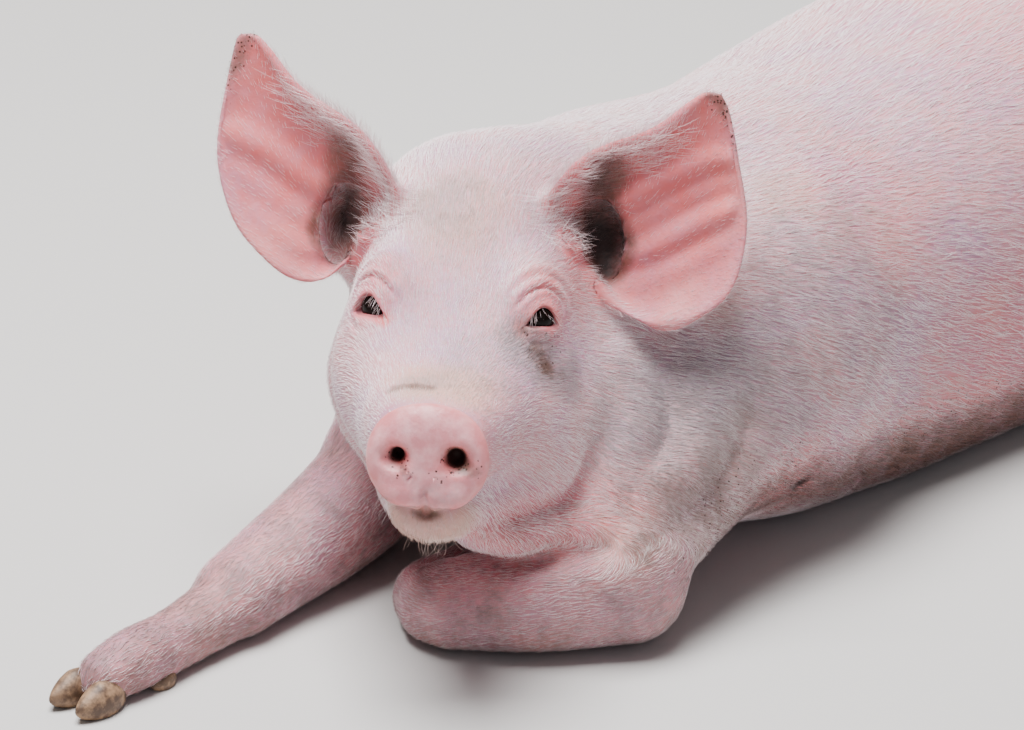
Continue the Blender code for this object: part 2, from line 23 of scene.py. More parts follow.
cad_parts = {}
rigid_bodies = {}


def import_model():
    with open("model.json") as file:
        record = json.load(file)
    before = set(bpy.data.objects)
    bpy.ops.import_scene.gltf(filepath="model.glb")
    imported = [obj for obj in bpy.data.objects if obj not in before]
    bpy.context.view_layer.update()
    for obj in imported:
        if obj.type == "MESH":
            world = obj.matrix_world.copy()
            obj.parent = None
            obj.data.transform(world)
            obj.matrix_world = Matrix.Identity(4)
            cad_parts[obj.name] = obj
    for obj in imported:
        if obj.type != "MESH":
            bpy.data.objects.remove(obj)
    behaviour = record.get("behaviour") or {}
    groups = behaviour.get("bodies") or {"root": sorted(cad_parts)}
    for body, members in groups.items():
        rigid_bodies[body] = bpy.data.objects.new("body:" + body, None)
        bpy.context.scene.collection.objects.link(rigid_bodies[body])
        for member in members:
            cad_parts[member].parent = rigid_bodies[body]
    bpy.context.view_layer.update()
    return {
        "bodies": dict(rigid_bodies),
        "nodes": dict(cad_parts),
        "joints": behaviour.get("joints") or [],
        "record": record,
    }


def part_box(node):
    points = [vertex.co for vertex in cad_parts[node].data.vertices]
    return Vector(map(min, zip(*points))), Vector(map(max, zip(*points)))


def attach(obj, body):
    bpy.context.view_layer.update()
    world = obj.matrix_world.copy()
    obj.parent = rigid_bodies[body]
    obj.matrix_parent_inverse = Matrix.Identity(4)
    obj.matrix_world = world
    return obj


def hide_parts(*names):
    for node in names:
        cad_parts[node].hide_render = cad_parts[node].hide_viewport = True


LOG = logging.getLogger("pig")
FLOOR_ROUND = 0.01  # how softly flesh rolls onto the floor
Row = tuple[float, ...]


# ------------------------------------------------------------------------------------- frames


@dataclass(frozen=True)
class Frame:
    """A place with three directions: left, forward and up.

    Args:
        origin: Where the frame stands.
        yaw: Turn to the left, in degrees.
        pitch: Nose up, in degrees.
        roll: Lean to the right, in degrees.
    """

    origin: Row
    yaw: float = 0.0
    pitch: float = 0.0
    roll: float = 0.0

    def axes(self) -> np.ndarray:
        """The directions left, forward and up as three rows."""
        turn = Matrix.Rotation(math.radians(self.yaw), 3, "Z")
        turn = turn @ Matrix.Rotation(math.radians(-self.pitch), 3, "X")
        turn = np.array(turn @ Matrix.Rotation(math.radians(self.roll), 3, "Y"))
        return np.array([turn[:, 0], -turn[:, 1], turn[:, 2]])

    def place(self, local: Sequence[float] | np.ndarray) -> np.ndarray:
        """World places of points given as left, forward and up."""
        return np.array(self.origin) + np.asarray(local, float) @ self.axes()

    def local(self, world: np.ndarray) -> np.ndarray:
        """Left, forward and up of world places."""
        return (np.asarray(world, float) - np.array(self.origin)) @ self.axes().T


HEAD = Frame((0.1313, -0.5183, 0.1648), 38.8, 12.5, 1.5)
WORLD = Frame((0.0, 0.0, 0.0))


# ------------------------------------------------------------------------------------- forms


def smooth_min(first: np.ndarray, second: np.ndarray, blend: float) -> np.ndarray:
    """The nearer of two distances, rounded off where they come within the blend of each other."""
    mix = np.clip(0.5 + 0.5 * (second - first) / blend, 0.0, 1.0)
    return second + (first - second) * mix - blend * mix * (1.0 - mix)


def smooth_step(value: np.ndarray, low: float, high: float) -> np.ndarray:
    """A soft ramp from 0 at low to 1 at high, which may also run downwards."""
    share = np.clip((value - low) / (high - low), 0.0, 1.0)
    return share * share * (3.0 - 2.0 * share)


def smooth_path(points: Sequence[Row], steps: int) -> np.ndarray:
    """A Catmull-Rom curve through rows of numbers, with this many steps between each two."""
    rows = np.array([2 * np.array(points[0]) - points[1], *points, 2 * np.array(points[-1]) - points[-2]],
                    float)
    found = []
    for i in range(1, len(rows) - 2):
        before, start, end, after = rows[i - 1 : i + 3]
        for t in np.arange(steps) / steps:
            curve = 2 * start + (end - before) * t + (2 * before - 5 * start + 4 * end - after) * t**2
            found.append(0.5 * (curve + (3 * start - before - 3 * end + after) * t**3))
    return np.array(found + [rows[-2]])


@dataclass
class Mass:
    """A rounded lump, such as a muscle or a cheek: an ellipsoid in a frame.

    Args:
        middle: Its centre as left, forward and up.
        radii: Its radii along the same directions.
        frame: The frame those are given in.
    """

    middle: Row
    radii: Row
    frame: Frame = WORLD

    def __post_init__(self) -> None:
        """Works out where it is and how far it reaches."""
        self.centre = self.frame.place(self.middle)
        self.axes = self.frame.axes()
        self.reach = max(self.radii)

    def distance(self, points: np.ndarray) -> np.ndarray:
        """How far points are outside it."""
        scaled = (points - self.centre) @ self.axes.T / self.radii
        size = np.linalg.norm(scaled, axis=1) + 1e-9
        return size * (size - 1.0) / (np.linalg.norm(scaled / self.radii, axis=1) + 1e-9)

    def beads(self) -> Iterable[tuple[np.ndarray, np.ndarray, np.ndarray]]:
        """Rough balls that fill it: centre, axes and radii of each."""
        return [(self.centre, self.axes, np.array(self.radii))]


@dataclass
class Limb:
    """A tapering round limb along a smooth path.

    Args:
        rows: Left, forward, up and radius at points of the path.
        frame: The frame the rows are given in.
        steps: How many straight lengths there are between two rows.
    """

    rows: Sequence[Row]
    frame: Frame = WORLD
    steps: int = 4

    def __post_init__(self) -> None:
        """Works out the path in the world."""
        path = smooth_path([(*self.frame.place(row[:3]), row[3]) for row in self.rows], self.steps)
        self.ends, self.sizes = path[:, :3], path[:, 3]
        self.centre = (self.ends.min(0) + self.ends.max(0)) / 2
        self.reach = np.linalg.norm(self.ends - self.centre, axis=1).max() + self.sizes.max()

    def distance(self, points: np.ndarray) -> np.ndarray:
        """How far points are outside it."""
        nearest = np.full(len(points), np.inf)
        for a, b, size_a, size_b in zip(self.ends, self.ends[1:], self.sizes, self.sizes[1:]):
            along = np.clip((points - a) @ (b - a) / ((b - a) @ (b - a)), 0.0, 1.0)
            gap = np.linalg.norm(points - a - along[:, None] * (b - a), axis=1)
            nearest = np.minimum(nearest, gap - size_a - along * (size_b - size_a))
        return nearest

    def heading(self, points: np.ndarray) -> np.ndarray:
        """The direction that the path runs in beside each point."""
        nearest, found = np.full(len(points), np.inf), np.zeros((len(points), 3))
        for a, b in zip(self.ends, self.ends[1:]):
            gap = np.linalg.norm(points - (a + b) / 2, axis=1)
            closer = gap < nearest
            nearest[closer] = gap[closer]
            found[closer] = (b - a) / np.linalg.norm(b - a)
        return found

    def beads(self) -> Iterable[tuple[np.ndarray, np.ndarray, np.ndarray]]:
        """Rough balls that fill it: centre, axes and radii of each."""
        return [(end, np.eye(3), np.full(3, size)) for end, size in zip(self.ends, self.sizes)]


@dataclass
class Loft:
    """A body of changing oval section.

    Args:
        rows: The distance back, half width, top and bottom at each section.
        frame: The frame the rows are given in.
        full_above: How square the section is above its middle; 2 is an ellipse.
        full_below: How square it is below.
    """

    rows: Sequence[Row]
    frame: Frame
    full_above: float = 2.0
    full_below: float = 2.0

    def __post_init__(self) -> None:
        """Works out the smooth table of sections."""
        self.table = smooth_path(self.rows, 6)
        self.axes = self.frame.axes()
        middle = self.table[len(self.table) // 2]
        self.centre = self.frame.place((0, -middle[0], (middle[2] + middle[3]) / 2))
        self.reach = np.abs(self.table[:, 0] - middle[0]).max() + self.table[:, 1:3].max()

    def distance(self, points: np.ndarray) -> np.ndarray:
        """How far points are outside it."""
        left, forward, up = self.frame.local(points).T
        back, wide, top, bottom = self.table.T
        where = np.clip(-forward, back[0], back[-1])
        half_width = np.interp(where, back, wide)
        middle = np.interp(where, back, (top + bottom) / 2)
        half_height = np.interp(where, back, (top - bottom) / 2)
        across, rise = np.abs(left) / half_width, (up - middle) / half_height
        power = np.where(rise > 0, self.full_above, self.full_below)
        size = (across**power + np.abs(rise) ** power + 1e-12) ** (1 / power)
        steepness = (np.hypot(across / half_width, rise / half_height)
                     / np.maximum(np.hypot(across, rise), 1e-6))
        section = (size - 1.0) / np.maximum(steepness, 1e-6)
        end = np.maximum(back[0] + forward, -forward - back[-1])
        return (np.minimum(np.maximum(section, end), 0.0)
                + np.hypot(np.maximum(section, 0), np.maximum(end, 0)))

    def beads(self) -> Iterable[tuple[np.ndarray, np.ndarray, np.ndarray]]:
        """Rough balls that fill it: centre, axes and radii of each."""
        for (back, wide, top, bottom), depth in zip(self.table, np.gradient(self.table[:, 0])):
            centre = self.frame.place((0, -back, (top + bottom) / 2))
            yield centre, self.axes, np.array((wide, depth * 1.6, (top - bottom) / 2))


@dataclass
class EarLeaf:
    """A cupped, leaf-shaped ear, as a curved sheet of a given thickness.

    Args:
        side: 1 for the left ear and -1 for the right.
        tip: The tip as left, forward and up of the head, for the left side.
        root: Where the ear's own axis starts.
        look: Which way the opening looks.
        inner_rim: The rim nearer the crown: share of the length, width across and height in front.
        outer_rim: The rim further from the crown, the same way.
        ridges: Low ridges that slant across it: place beside the slant through the root, height and width.
    """

    side: int
    tip: Row
    root: Row = (0.075, -0.183, 0.098)
    look: Row = (0.18, 0.97, 0.12)
    inner_rim: Sequence[Row] = (
        (-0.1, -0.028, 0.006), (0.06, -0.041, 0.012), (0.35, -0.039, 0.014), (0.64, -0.018, 0.008),
        (0.86, -0.011, 0.003), (0.96, -0.0075, 0.001), (1.0, -0.0015, 0.0),
    )
    outer_rim: Sequence[Row] = (
        (-0.13, 0.01, 0.014), (-0.155, 0.034, 0.024), (-0.09, 0.056, 0.032), (0.06, 0.071, 0.034),
        (0.3, 0.078, 0.028), (0.58, 0.062, 0.016), (0.8, 0.033, 0.006), (0.94, 0.013, 0.002),
        (1.0, 0.0015, 0.0),
    )
    cup: float = 0.034
    shrink: float = 0.972  # the skin stays inside the solid by the depth of its hair
    rim_thickness: float = 0.003
    root_thickness: float = 0.0056
    rolled: float = 0.0038  # how much thicker the rim nearer the crown is
    ridges: Sequence[Row] = ((-0.0284, 0.0044, 0.0052), (-0.016, 0.0018, 0.004), (-0.0039, 0.005, 0.0046),
                             (0.01, 0.002, 0.0045))
    rows: int = 48
    columns: int = 34

    def __post_init__(self) -> None:
        """Lays out the sheet and its own directions."""
        root, tip = (HEAD.place((self.side * place[0], *place[1:])) for place in (self.root, self.tip))
        self.start, self.length = root, np.linalg.norm(tip - root)
        self.axis = (tip - root) / self.length
        look = HEAD.place((self.side * self.look[0], *self.look[1:])) - HEAD.place((0, 0, 0))
        look = look - self.axis * (look @ self.axis)
        self.facing = look / np.linalg.norm(look)
        self.out = np.cross(self.axis, self.facing) * self.side
        along, across = np.meshgrid(np.linspace(0, 1, self.rows), np.linspace(0, 1, self.columns),
                                    indexing="ij")
        self.grid = self._sheet(along.ravel(), across.ravel())
        corners = np.arange(self.rows * self.columns).reshape(self.rows, self.columns)
        self.quads = np.stack(
            [corners[:-1, :-1], corners[1:, :-1], corners[1:, 1:], corners[:-1, 1:]], -1
        ).reshape(-1, 4)
        edge = np.minimum(np.minimum(across, 1 - across) * 5.0, 1.0)
        thick = self.rim_thickness + (self.root_thickness - self.rim_thickness) * (1 - along) ** 2 * edge
        thick += self.rolled * np.exp(-((across / 0.07) ** 2)) * np.sin(math.pi * np.clip(along + 0.1, 0, 1))
        self.thickness = (thick + 0.0006 * edge).ravel()
        self.tree = BVHTree.FromPolygons([tuple(p) for p in self.grid],
                                         [tuple(map(int, q)) for q in self.quads])
        self.centre = self.grid.mean(0)
        self.reach = np.linalg.norm(self.grid - self.centre, axis=1).max() + self.root_thickness

    def _sheet(self, along: np.ndarray, across: np.ndarray) -> np.ndarray:
        """World places of the sheet at shares along and across it."""
        rims = [smooth_path(rim, 8) for rim in (self.inner_rim, self.outer_rim)]
        inner, outer = (
            np.stack([np.interp(along * (len(rim) - 1), range(len(rim)), column) for column in rim.T], 1)
            for rim in rims
        )
        place = inner + (outer - inner) * across[:, None]
        place[:, 2] -= self.cup * (1 - along) ** 1.3 * np.sin(math.pi * across) ** 0.8
        length, wide, slant = along * self.length, place[:, 1].copy(), math.radians(37)
        onward, beside = (
            length * math.cos(slant) + wide * math.sin(slant),
            wide * math.cos(slant) - length * math.sin(slant)
        )
        rising = (smooth_step(onward, 0.014, 0.034) * smooth_step(across, 0.94, 0.74)
                  * smooth_step(across, 0.06, 0.2))
        for at, height, width in self.ridges:
            place[:, 2] += height * rising * np.exp(-(((beside - at) / width) ** 2))
        bend = place * np.array([self.length, 1.0, 1.0]) * self.shrink
        return self.start + bend @ np.array([self.axis, self.out, self.facing])

    def rim_outward(self, normals: np.ndarray) -> np.ndarray:
        """For points on the rim, the direction in the sheet that leads off it; other rows mean nothing."""
        grid = self.grid.reshape(self.rows, self.columns, 3)
        out = np.zeros_like(grid)
        out[:, 0] += grid[:, 0] - grid[:, 1]
        out[:, -1] += grid[:, -1] - grid[:, -2]
        out[0] += grid[0] - grid[1]
        out[-1] += grid[-1] - grid[-2]
        out = out.reshape(-1, 3)
        out -= normals * (out * normals).sum(1)[:, None]
        return out / np.maximum(np.linalg.norm(out, axis=1), 1e-9)[:, None]

    def nearest(self, points: np.ndarray) -> tuple[np.ndarray, np.ndarray, np.ndarray]:
        """For each point: its gap to the sheet, which quad is nearest, and whether it is on the open side."""
        gap, quad, front = np.empty(len(points)), np.empty(len(points), int), np.empty(len(points))
        for i, point in enumerate(points):
            place, _, index, distance = self.tree.find_nearest(Vector(point))
            gap[i], quad[i] = distance, index
            front[i] = (point - np.array(place)) @ self.facing
        return gap, quad, front

    def beside(self, points: np.ndarray) -> tuple[np.ndarray, ...]:
        """Points close to the ear: their numbers, gaps, shares along and across it, and heights in front."""
        near = np.flatnonzero(np.linalg.norm(points - self.centre, axis=1) < self.reach + 0.01)
        gap, quad, front = self.nearest(points[near])
        first = self.quads[quad, 0]
        return (near, gap, (first // self.columns) / (self.rows - 1),
                (first % self.columns) / (self.columns - 1), front)

    def distance(self, points: np.ndarray) -> np.ndarray:
        """How far points are outside it."""
        gap, quad, _ = self.nearest(points)
        return gap - self.thickness[self.quads[quad, 0]] / 2

    def beads(self) -> Iterable[tuple[np.ndarray, np.ndarray, np.ndarray]]:
        """No balls: the ear brings a shell of its own."""
        return ()


@dataclass(frozen=True)
class EyeSite:
    """Where an eye sits in the head, and its opening between the lids.

    Args:
        side: 1 for the left eye and -1 for the right.
        centre: The middle of the eyeball.
        radius: The eyeball's radius.
    """

    side: int
    centre: Row
    radius: float
    half_length: float = 0.0108
    half_height: float = 0.005
    arch: float = 0.0058
    drop: float = -0.0042
    lid: float = 0.0015
    gaze: Row = (0.54, 0.83, 0.08)
    slit: Row = (0.88, -0.47, -0.03)

    def frame(self) -> np.ndarray:
        """Rows along the slit, up across it, and out along the gaze."""
        origin = HEAD.place((0, 0, 0))
        gaze, along = (HEAD.place((row[0] * self.side, *row[1:])) - origin for row in (self.gaze, self.slit))
        gaze = gaze / np.linalg.norm(gaze)
        along = along - gaze * (along @ gaze)
        along = along / np.linalg.norm(along)
        up = np.cross(gaze, along)
        return np.array([along, up if up[2] > 0 else -up, gaze])

    def local(self, points: np.ndarray) -> np.ndarray:
        """Along, across and out from the eyeball's centre."""
        return (points - np.array(self.centre)) @ self.frame().T

    def opening(self, points: np.ndarray) -> np.ndarray:
        """Distance outside the gap between the lids, which arches up from a nearly level lower lid."""
        along, across, out = self.local(points).T
        ball = self.radius + self.lid
        x = ball * np.arctan2(along, np.maximum(out, 1e-4)) / self.half_length
        y = (ball * np.arctan2(across, np.maximum(out, 1e-4)) - self.drop
             - self.arch * (1.0 - np.abs(x) ** 2.2))
        lens = np.abs(y) / self.half_height + np.abs(x) ** 3 - 1.0
        return np.where(out > 0, lens * self.half_height * 0.75, 0.05)

    def nearness(self, points: np.ndarray) -> np.ndarray:
        """Distance from the eyeball's centre."""
        return np.linalg.norm(points - np.array(self.centre), axis=1)


@dataclass
class EyePit:
    """The gap between an eye's lids, carved down to just under the eyeball's surface.

    Args:
        site: The eye it belongs to.
    """

    site: EyeSite

    def __post_init__(self) -> None:
        """Takes its place from the eye."""
        self.centre = np.array(self.site.centre)
        self.reach = self.site.radius + 0.008

    def distance(self, points: np.ndarray) -> np.ndarray:
        """How far points are outside the gap."""
        floor = self.site.radius - 0.0016 - self.site.nearness(points)
        return np.maximum(self.site.opening(points), floor)

    def beads(self) -> Iterable[tuple[np.ndarray, np.ndarray, np.ndarray]]:
        """No balls: it only carves."""
        return ()


Form = Mass | Limb | Loft | EarLeaf | EyePit


def pair(make: Callable[[int], list]) -> list:
    """The same forms on the left (+1) and on the right (-1)."""
    return [item for side in (1, -1) for item in make(side)]


TRUNK = Loft(
    (
        (-0.29, 0.07, 0.21, 0.06), (-0.25, 0.108, 0.225, 0.03), (-0.19, 0.132, 0.228, 0.0),
        (-0.11, 0.146, 0.233, -0.016), (-0.02, 0.153, 0.248, -0.018), (0.08, 0.158, 0.262, -0.018),
        (0.18, 0.154, 0.268, -0.014), (0.28, 0.14, 0.262, 0.0), (0.36, 0.12, 0.243, 0.015),
        (0.415, 0.092, 0.214, 0.045), (0.445, 0.06, 0.186, 0.075),
    ),
    WORLD, full_above=2.15, full_below=3.6,
)
FACE = Loft(
    (
        (0.004, 0.032, 0.0285, -0.0265), (0.018, 0.0325, 0.0285, -0.0265), (0.045, 0.0425, 0.035, -0.031),
        (0.075, 0.0515, 0.043, -0.036), (0.1, 0.055, 0.055, -0.04), (0.125, 0.0585, 0.076, -0.045),
        (0.15, 0.062, 0.1, -0.05), (0.18, 0.067, 0.12, -0.054), (0.21, 0.0675, 0.129, -0.054),
        (0.24, 0.062, 0.128, -0.048),
    ),
    HEAD, full_above=2.5, full_below=2.2,
)
DISC = Loft(
    (
        (-0.0052, 0.012, 0.01, -0.0095), (-0.0044, 0.0205, 0.0172, -0.0168),
        (-0.0026, 0.0278, 0.0238, -0.023),
        (0.0006, 0.033, 0.0285, -0.0276), (0.005, 0.0352, 0.0303, -0.0302), (0.011, 0.0335, 0.029, -0.028),
    ),
    HEAD, full_above=1.9, full_below=2.4,
)
EAR_FOLD = (  # the thick fold in front of the ear canal
    (0.064, -0.175, 0.082, 0.0045), (0.0625, -0.167, 0.1, 0.0062), (0.0625, -0.162, 0.12, 0.0062),
    (0.069, -0.159, 0.138, 0.0048),
)
LIMBS = {
    "forearm_left": ((0.141, 0.366, 0.036, 0.0385), (0.112, 0.41, 0.032, 0.035),
                     (0.078, 0.442, 0.0255, 0.029)),
    "forearm_right": ((-0.06, 0.366, 0.044, 0.04), (-0.043, 0.436, 0.034, 0.0345),
                      (-0.029, 0.52, 0.0235, 0.0275)),
    "shank_left": ((0.14, -0.215, 0.068, 0.042), (0.152, -0.256, 0.048, 0.037),
                   (0.164, -0.302, 0.0265, 0.0285)),
    "shank_right": ((-0.138, -0.225, 0.068, 0.042), (-0.15, -0.266, 0.048, 0.037),
                    (-0.161, -0.312, 0.0265, 0.0285)),
    "forefoot_left": (
        (0.062, 0.446, 0.0205, 0.0235), (0.042, 0.432, 0.0165, 0.0215), (0.032, 0.398, 0.013, 0.018),
        (0.031, 0.366, 0.014, 0.019), (0.034, 0.342, 0.013, 0.018),
    ),
    "forefoot_right": (
        (-0.026, 0.534, 0.0195, 0.0225), (-0.022, 0.578, 0.015, 0.02), (-0.019, 0.612, 0.015, 0.0205),
        (-0.018, 0.634, 0.013, 0.018),
    ),
    "hindfoot_left": (
        (0.171, -0.304, 0.02, 0.0225), (0.18, -0.262, 0.015, 0.02), (0.183, -0.218, 0.013, 0.018),
        (0.184, -0.186, 0.0145, 0.0195), (0.182, -0.162, 0.013, 0.018),
    ),
    "hindfoot_right": (
        (-0.168, -0.314, 0.02, 0.0225), (-0.177, -0.272, 0.015, 0.02), (-0.181, -0.228, 0.013, 0.018),
        (-0.183, -0.196, 0.0145, 0.0195), (-0.183, -0.172, 0.013, 0.018),
    ),
}


def head_forms() -> list[tuple[Form, float]]:
    """The skull, the muscles over it and the soft parts of the face, each with its blend."""
    forms = [
        (FACE, 0.04),
        (DISC, 0.005),
        (Mass((0, -0.042, -0.038), (0.024, 0.034, 0.0185), HEAD), 0.01),  # chin
        (Limb(((0.011, -0.06, -0.041, 0.015), (0.027, -0.11, -0.043, 0.024),
               (0.035, -0.165, -0.038, 0.034)), HEAD, 12), 0.018),  # left jaw and jowl
        (Limb(((-0.011, -0.06, -0.041, 0.015), (-0.019, -0.11, -0.04, 0.0215),
               (-0.027, -0.165, -0.034, 0.03)), HEAD, 12), 0.018),  # right jaw and jowl, tucked in
        (Limb(((0.024, -0.084, -0.058, 0.012), (0.044, -0.106, -0.06, 0.017),
               (0.06, -0.142, -0.059, 0.026)), HEAD, 8), 0.022),  # throat, resting on the folded leg
        (Mass((0.041, -0.15, -0.008), (0.038, 0.062, 0.052), HEAD), 0.03),  # left cheek
        (Mass((-0.036, -0.15, 0.018), (0.041, 0.062, 0.046), HEAD), 0.026),  # right cheek
    ]
    forms += pair(lambda s: [
        (Mass((0.041 * s, -0.138, 0.066), (0.015, 0.026, 0.023), HEAD), 0.026),  # rim of the eye socket
        (Limb(((0.038 * s, -0.218, 0.074, 0.03), (0.068 * s, -0.218, 0.088, 0.022)), HEAD), 0.02),  # ear base
        (Limb(((0.079 * s, -0.206, 0.088, 0.02), (0.0775 * s, -0.203, 0.117, 0.018),
               (0.077 * s, -0.193, 0.15, 0.0075)), HEAD), 0.018),  # conch
        (Limb(EAR_FOLD if s > 0 else mirrored(EAR_FOLD), HEAD), 0.007),
        (Mass((0.0128 * s, 0.0, -0.019), (0.0125, 0.0058, 0.0095), HEAD), 0.006),  # lower lobe of the disc
    ])
    return forms


def torso_forms() -> list[tuple[Form, float]]:
    """The trunk, neck, shoulders, upper arms and hams, each with its blend."""
    forms = [
        (TRUNK, 0.03),
        (Limb(((-0.012, 0.33, 0.195, 0.071), (-0.008, 0.285, 0.188, 0.072), (-0.008, 0.2, 0.16, 0.076),
               (-0.005, 0.12, 0.152, 0.076))), 0.05),  # nape
        (Limb(((0.045, 0.35, 0.116, 0.062), (0.03, 0.31, 0.11, 0.072),
               (0.01, 0.23, 0.095, 0.085))), 0.05),  # brisket
        (Limb(((0.06, 0.25, 0.155, 0.055), (0.085, 0.3, 0.112, 0.048),
               (0.1, 0.34, 0.078, 0.042))), 0.05),  # side of the neck down to the left arm
        (Mass((0.0, -0.41, 0.18), (0.05, 0.045, 0.05)), 0.04),  # tail head
        (Limb(((0.1, 0.2, 0.105, 0.062), (0.118, 0.29, 0.085, 0.05),
               (0.14, 0.372, 0.052, 0.038))), 0.04),  # left upper arm
        (Limb(((-0.1, 0.23, 0.105, 0.06), (-0.082, 0.31, 0.078, 0.047),
               (-0.06, 0.368, 0.054, 0.04))), 0.035),  # right upper arm
    ]
    forms += pair(lambda s: [
        (Mass((0.085 * s, 0.185, 0.115), (0.064, 0.095, 0.092)), 0.05),  # shoulder
        (Mass((0.078 * s, -0.315, 0.108), (0.07, 0.122, 0.102)), 0.045),  # ham
        (Mass((0.118 * s, -0.175, 0.08), (0.05, 0.09, 0.07)), 0.04),  # stifle
        (Limb(((0.112 * s, -0.15, 0.085, 0.06), (0.134 * s, -0.215, 0.068, 0.052),
               (0.148 * s, -0.268, 0.046, 0.04))), 0.045),  # gaskin
    ])
    return forms


@dataclass(frozen=True)
class TailCurl:
    """A tapering tail with one loose curl.

    Args:
        root: Where it starts, in the world.
        run: How far it goes apart from the curl.
    """

    root: Row = (0.0, 0.447, 0.168)
    run: Row = (0.03, 0.062, -0.06)
    thick: float = 0.0117
    thin: float = 0.0034
    curl: float = 0.021
    curls: float = 1.15
    steps: int = 28

    def rows(self) -> list[Row]:
        """Left, forward, up and radius along it."""
        found = []
        for t in np.linspace(0.0, 1.0, self.steps):
            turn = math.tau * self.curls * t
            reach = self.curl * min(t * 4.0, 1.0)
            x, y, z = np.array(self.root) + np.array(self.run) * t
            radius = self.thick + (self.thin - self.thick) * t
            found.append((x + reach * math.sin(turn), -y, z + reach * math.cos(turn), radius))
        return found


# ------------------------------------------------------------------------------------- creases


def beside_line(path: Sequence[Row], frame: Frame, points: np.ndarray) -> tuple[np.ndarray, np.ndarray]:
    """Each point's gap to a smooth line, and the share along the line of the nearest place."""
    line = smooth_path([tuple(frame.place(place[:3])) for place in path], 5)
    gap, share = np.full(len(points), np.inf), np.zeros(len(points))
    for i, (a, b) in enumerate(zip(line, line[1:])):
        along = np.clip((points - a) @ (b - a) / ((b - a) @ (b - a)), 0.0, 1.0)
        here = np.linalg.norm(points - a - along[:, None] * (b - a), axis=1)
        closer = here < gap
        gap[closer], share[closer] = here[closer], (i + along[closer]) / (len(line) - 1)
    return gap, share


@dataclass(frozen=True)
class Crease:
    """A fold pressed into the skin along a smooth line, with soft lips beside it.

    Args:
        name: What the fold is.
        path: Points on the skin.
        depth: How deep it is pressed in.
        width: How wide it is.
        lip: How high the skin stands beside it.
        frame: The frame the path is given in.
    """

    name: str
    path: Sequence[Row]
    depth: float
    width: float
    lip: float = 0.0
    frame: Frame = WORLD

    def rise(self, points: np.ndarray) -> np.ndarray:
        """How far out of the skin each point is moved, and inwards where it is negative."""
        gap, share = beside_line(self.path, self.frame, points)
        fade = np.clip(np.sin(np.pi * share) * 2.2, 0.0, 1.0)
        groove = np.exp(-((gap / self.width) ** 2))
        lips = np.exp(-(((gap - 2.1 * self.width) / (1.3 * self.width)) ** 2))
        return fade * (self.lip * lips - self.depth * groove)


def flip(points: Sequence[Row]) -> list[Row]:
    """World places written as left, forward and up of the world frame."""
    return [(x, -y, z) for x, y, z in points]


def mirrored(points: Sequence[Row]) -> list[Row]:
    """The same places on the other side."""
    return [(-x, *rest) for x, *rest in points]


def face_creases() -> list[Crease]:
    """Folds of the head, most of them on both sides."""
    mouth = [(0.012, -0.006, -0.03), (0.022, -0.02, -0.0335), (0.032, -0.047, -0.0355),
             (0.0415, -0.07, -0.042), (0.046, -0.086, -0.044)]
    above = [(0.0345, -0.1085, 0.067), (0.042, -0.113, 0.0765), (0.052, -0.122, 0.0795),
             (0.06, -0.131, 0.071), (0.0625, -0.129, 0.06)]
    brow = [(0.028, -0.108, 0.071), (0.037, -0.116, 0.083), (0.05, -0.126, 0.088), (0.061, -0.139, 0.079),
            (0.065, -0.14, 0.064)]
    under = [(0.04, -0.101, 0.053), (0.047, -0.103, 0.049), (0.057, -0.11, 0.049), (0.0625, -0.12, 0.055)]
    cheek = [(0.047, -0.1, -0.032), (0.06, -0.112, -0.01), (0.069, -0.125, 0.016), (0.071, -0.14, 0.038)]
    jowl = [(0.034, -0.056, -0.049), (0.0445, -0.0756, -0.05), (0.0553, -0.089, -0.049),
            (0.0627, -0.0966, -0.047), (0.0707, -0.1043, -0.044), (0.0765, -0.1095, -0.0372),
            (0.0805, -0.114, -0.03), (0.083, -0.117, -0.02), (0.084, -0.12, -0.006)]
    found = []
    for hand in (list, mirrored):
        found += [
            Crease("mouth", hand(mouth), 0.0018, 0.0022, 0.0004, HEAD),
            Crease("lid fold", hand(above), 0.0016, 0.0016, 0.0008, HEAD),
            Crease("brow fold", hand(brow), 0.0016, 0.0026, 0.0012, HEAD),
            Crease("bag under the eye", hand(under), 0.001, 0.0018, 0.0006, HEAD),
            Crease("front of the cheek", hand(cheek), 0.0016, 0.0075, 0.0008, HEAD),
            Crease("edge of the cheek", hand(jowl), 0.0055, 0.008, 0.0022, HEAD),
        ]
    for back, depth in ((0.017, 0.0005), (0.03, 0.0003)):
        arc = [(-0.03, -back, 0.016), (-0.018, -back - 0.001, 0.028), (0.0, -back - 0.002, 0.031),
               (0.018, -back - 0.001, 0.028), (0.03, -back, 0.016)]
        found.append(Crease("bridge wrinkle", arc, depth, 0.0024, depth * 0.5, HEAD))
    cleft = [(0.0002, 0.004, -0.017), (-0.0004, 0.003, -0.022), (0.0004, 0.0, -0.028),
             (0.0004, -0.006, -0.034)]
    found.append(Crease("cleft of the disc", cleft, 0.0036, 0.002, 0.0008, HEAD))
    return found


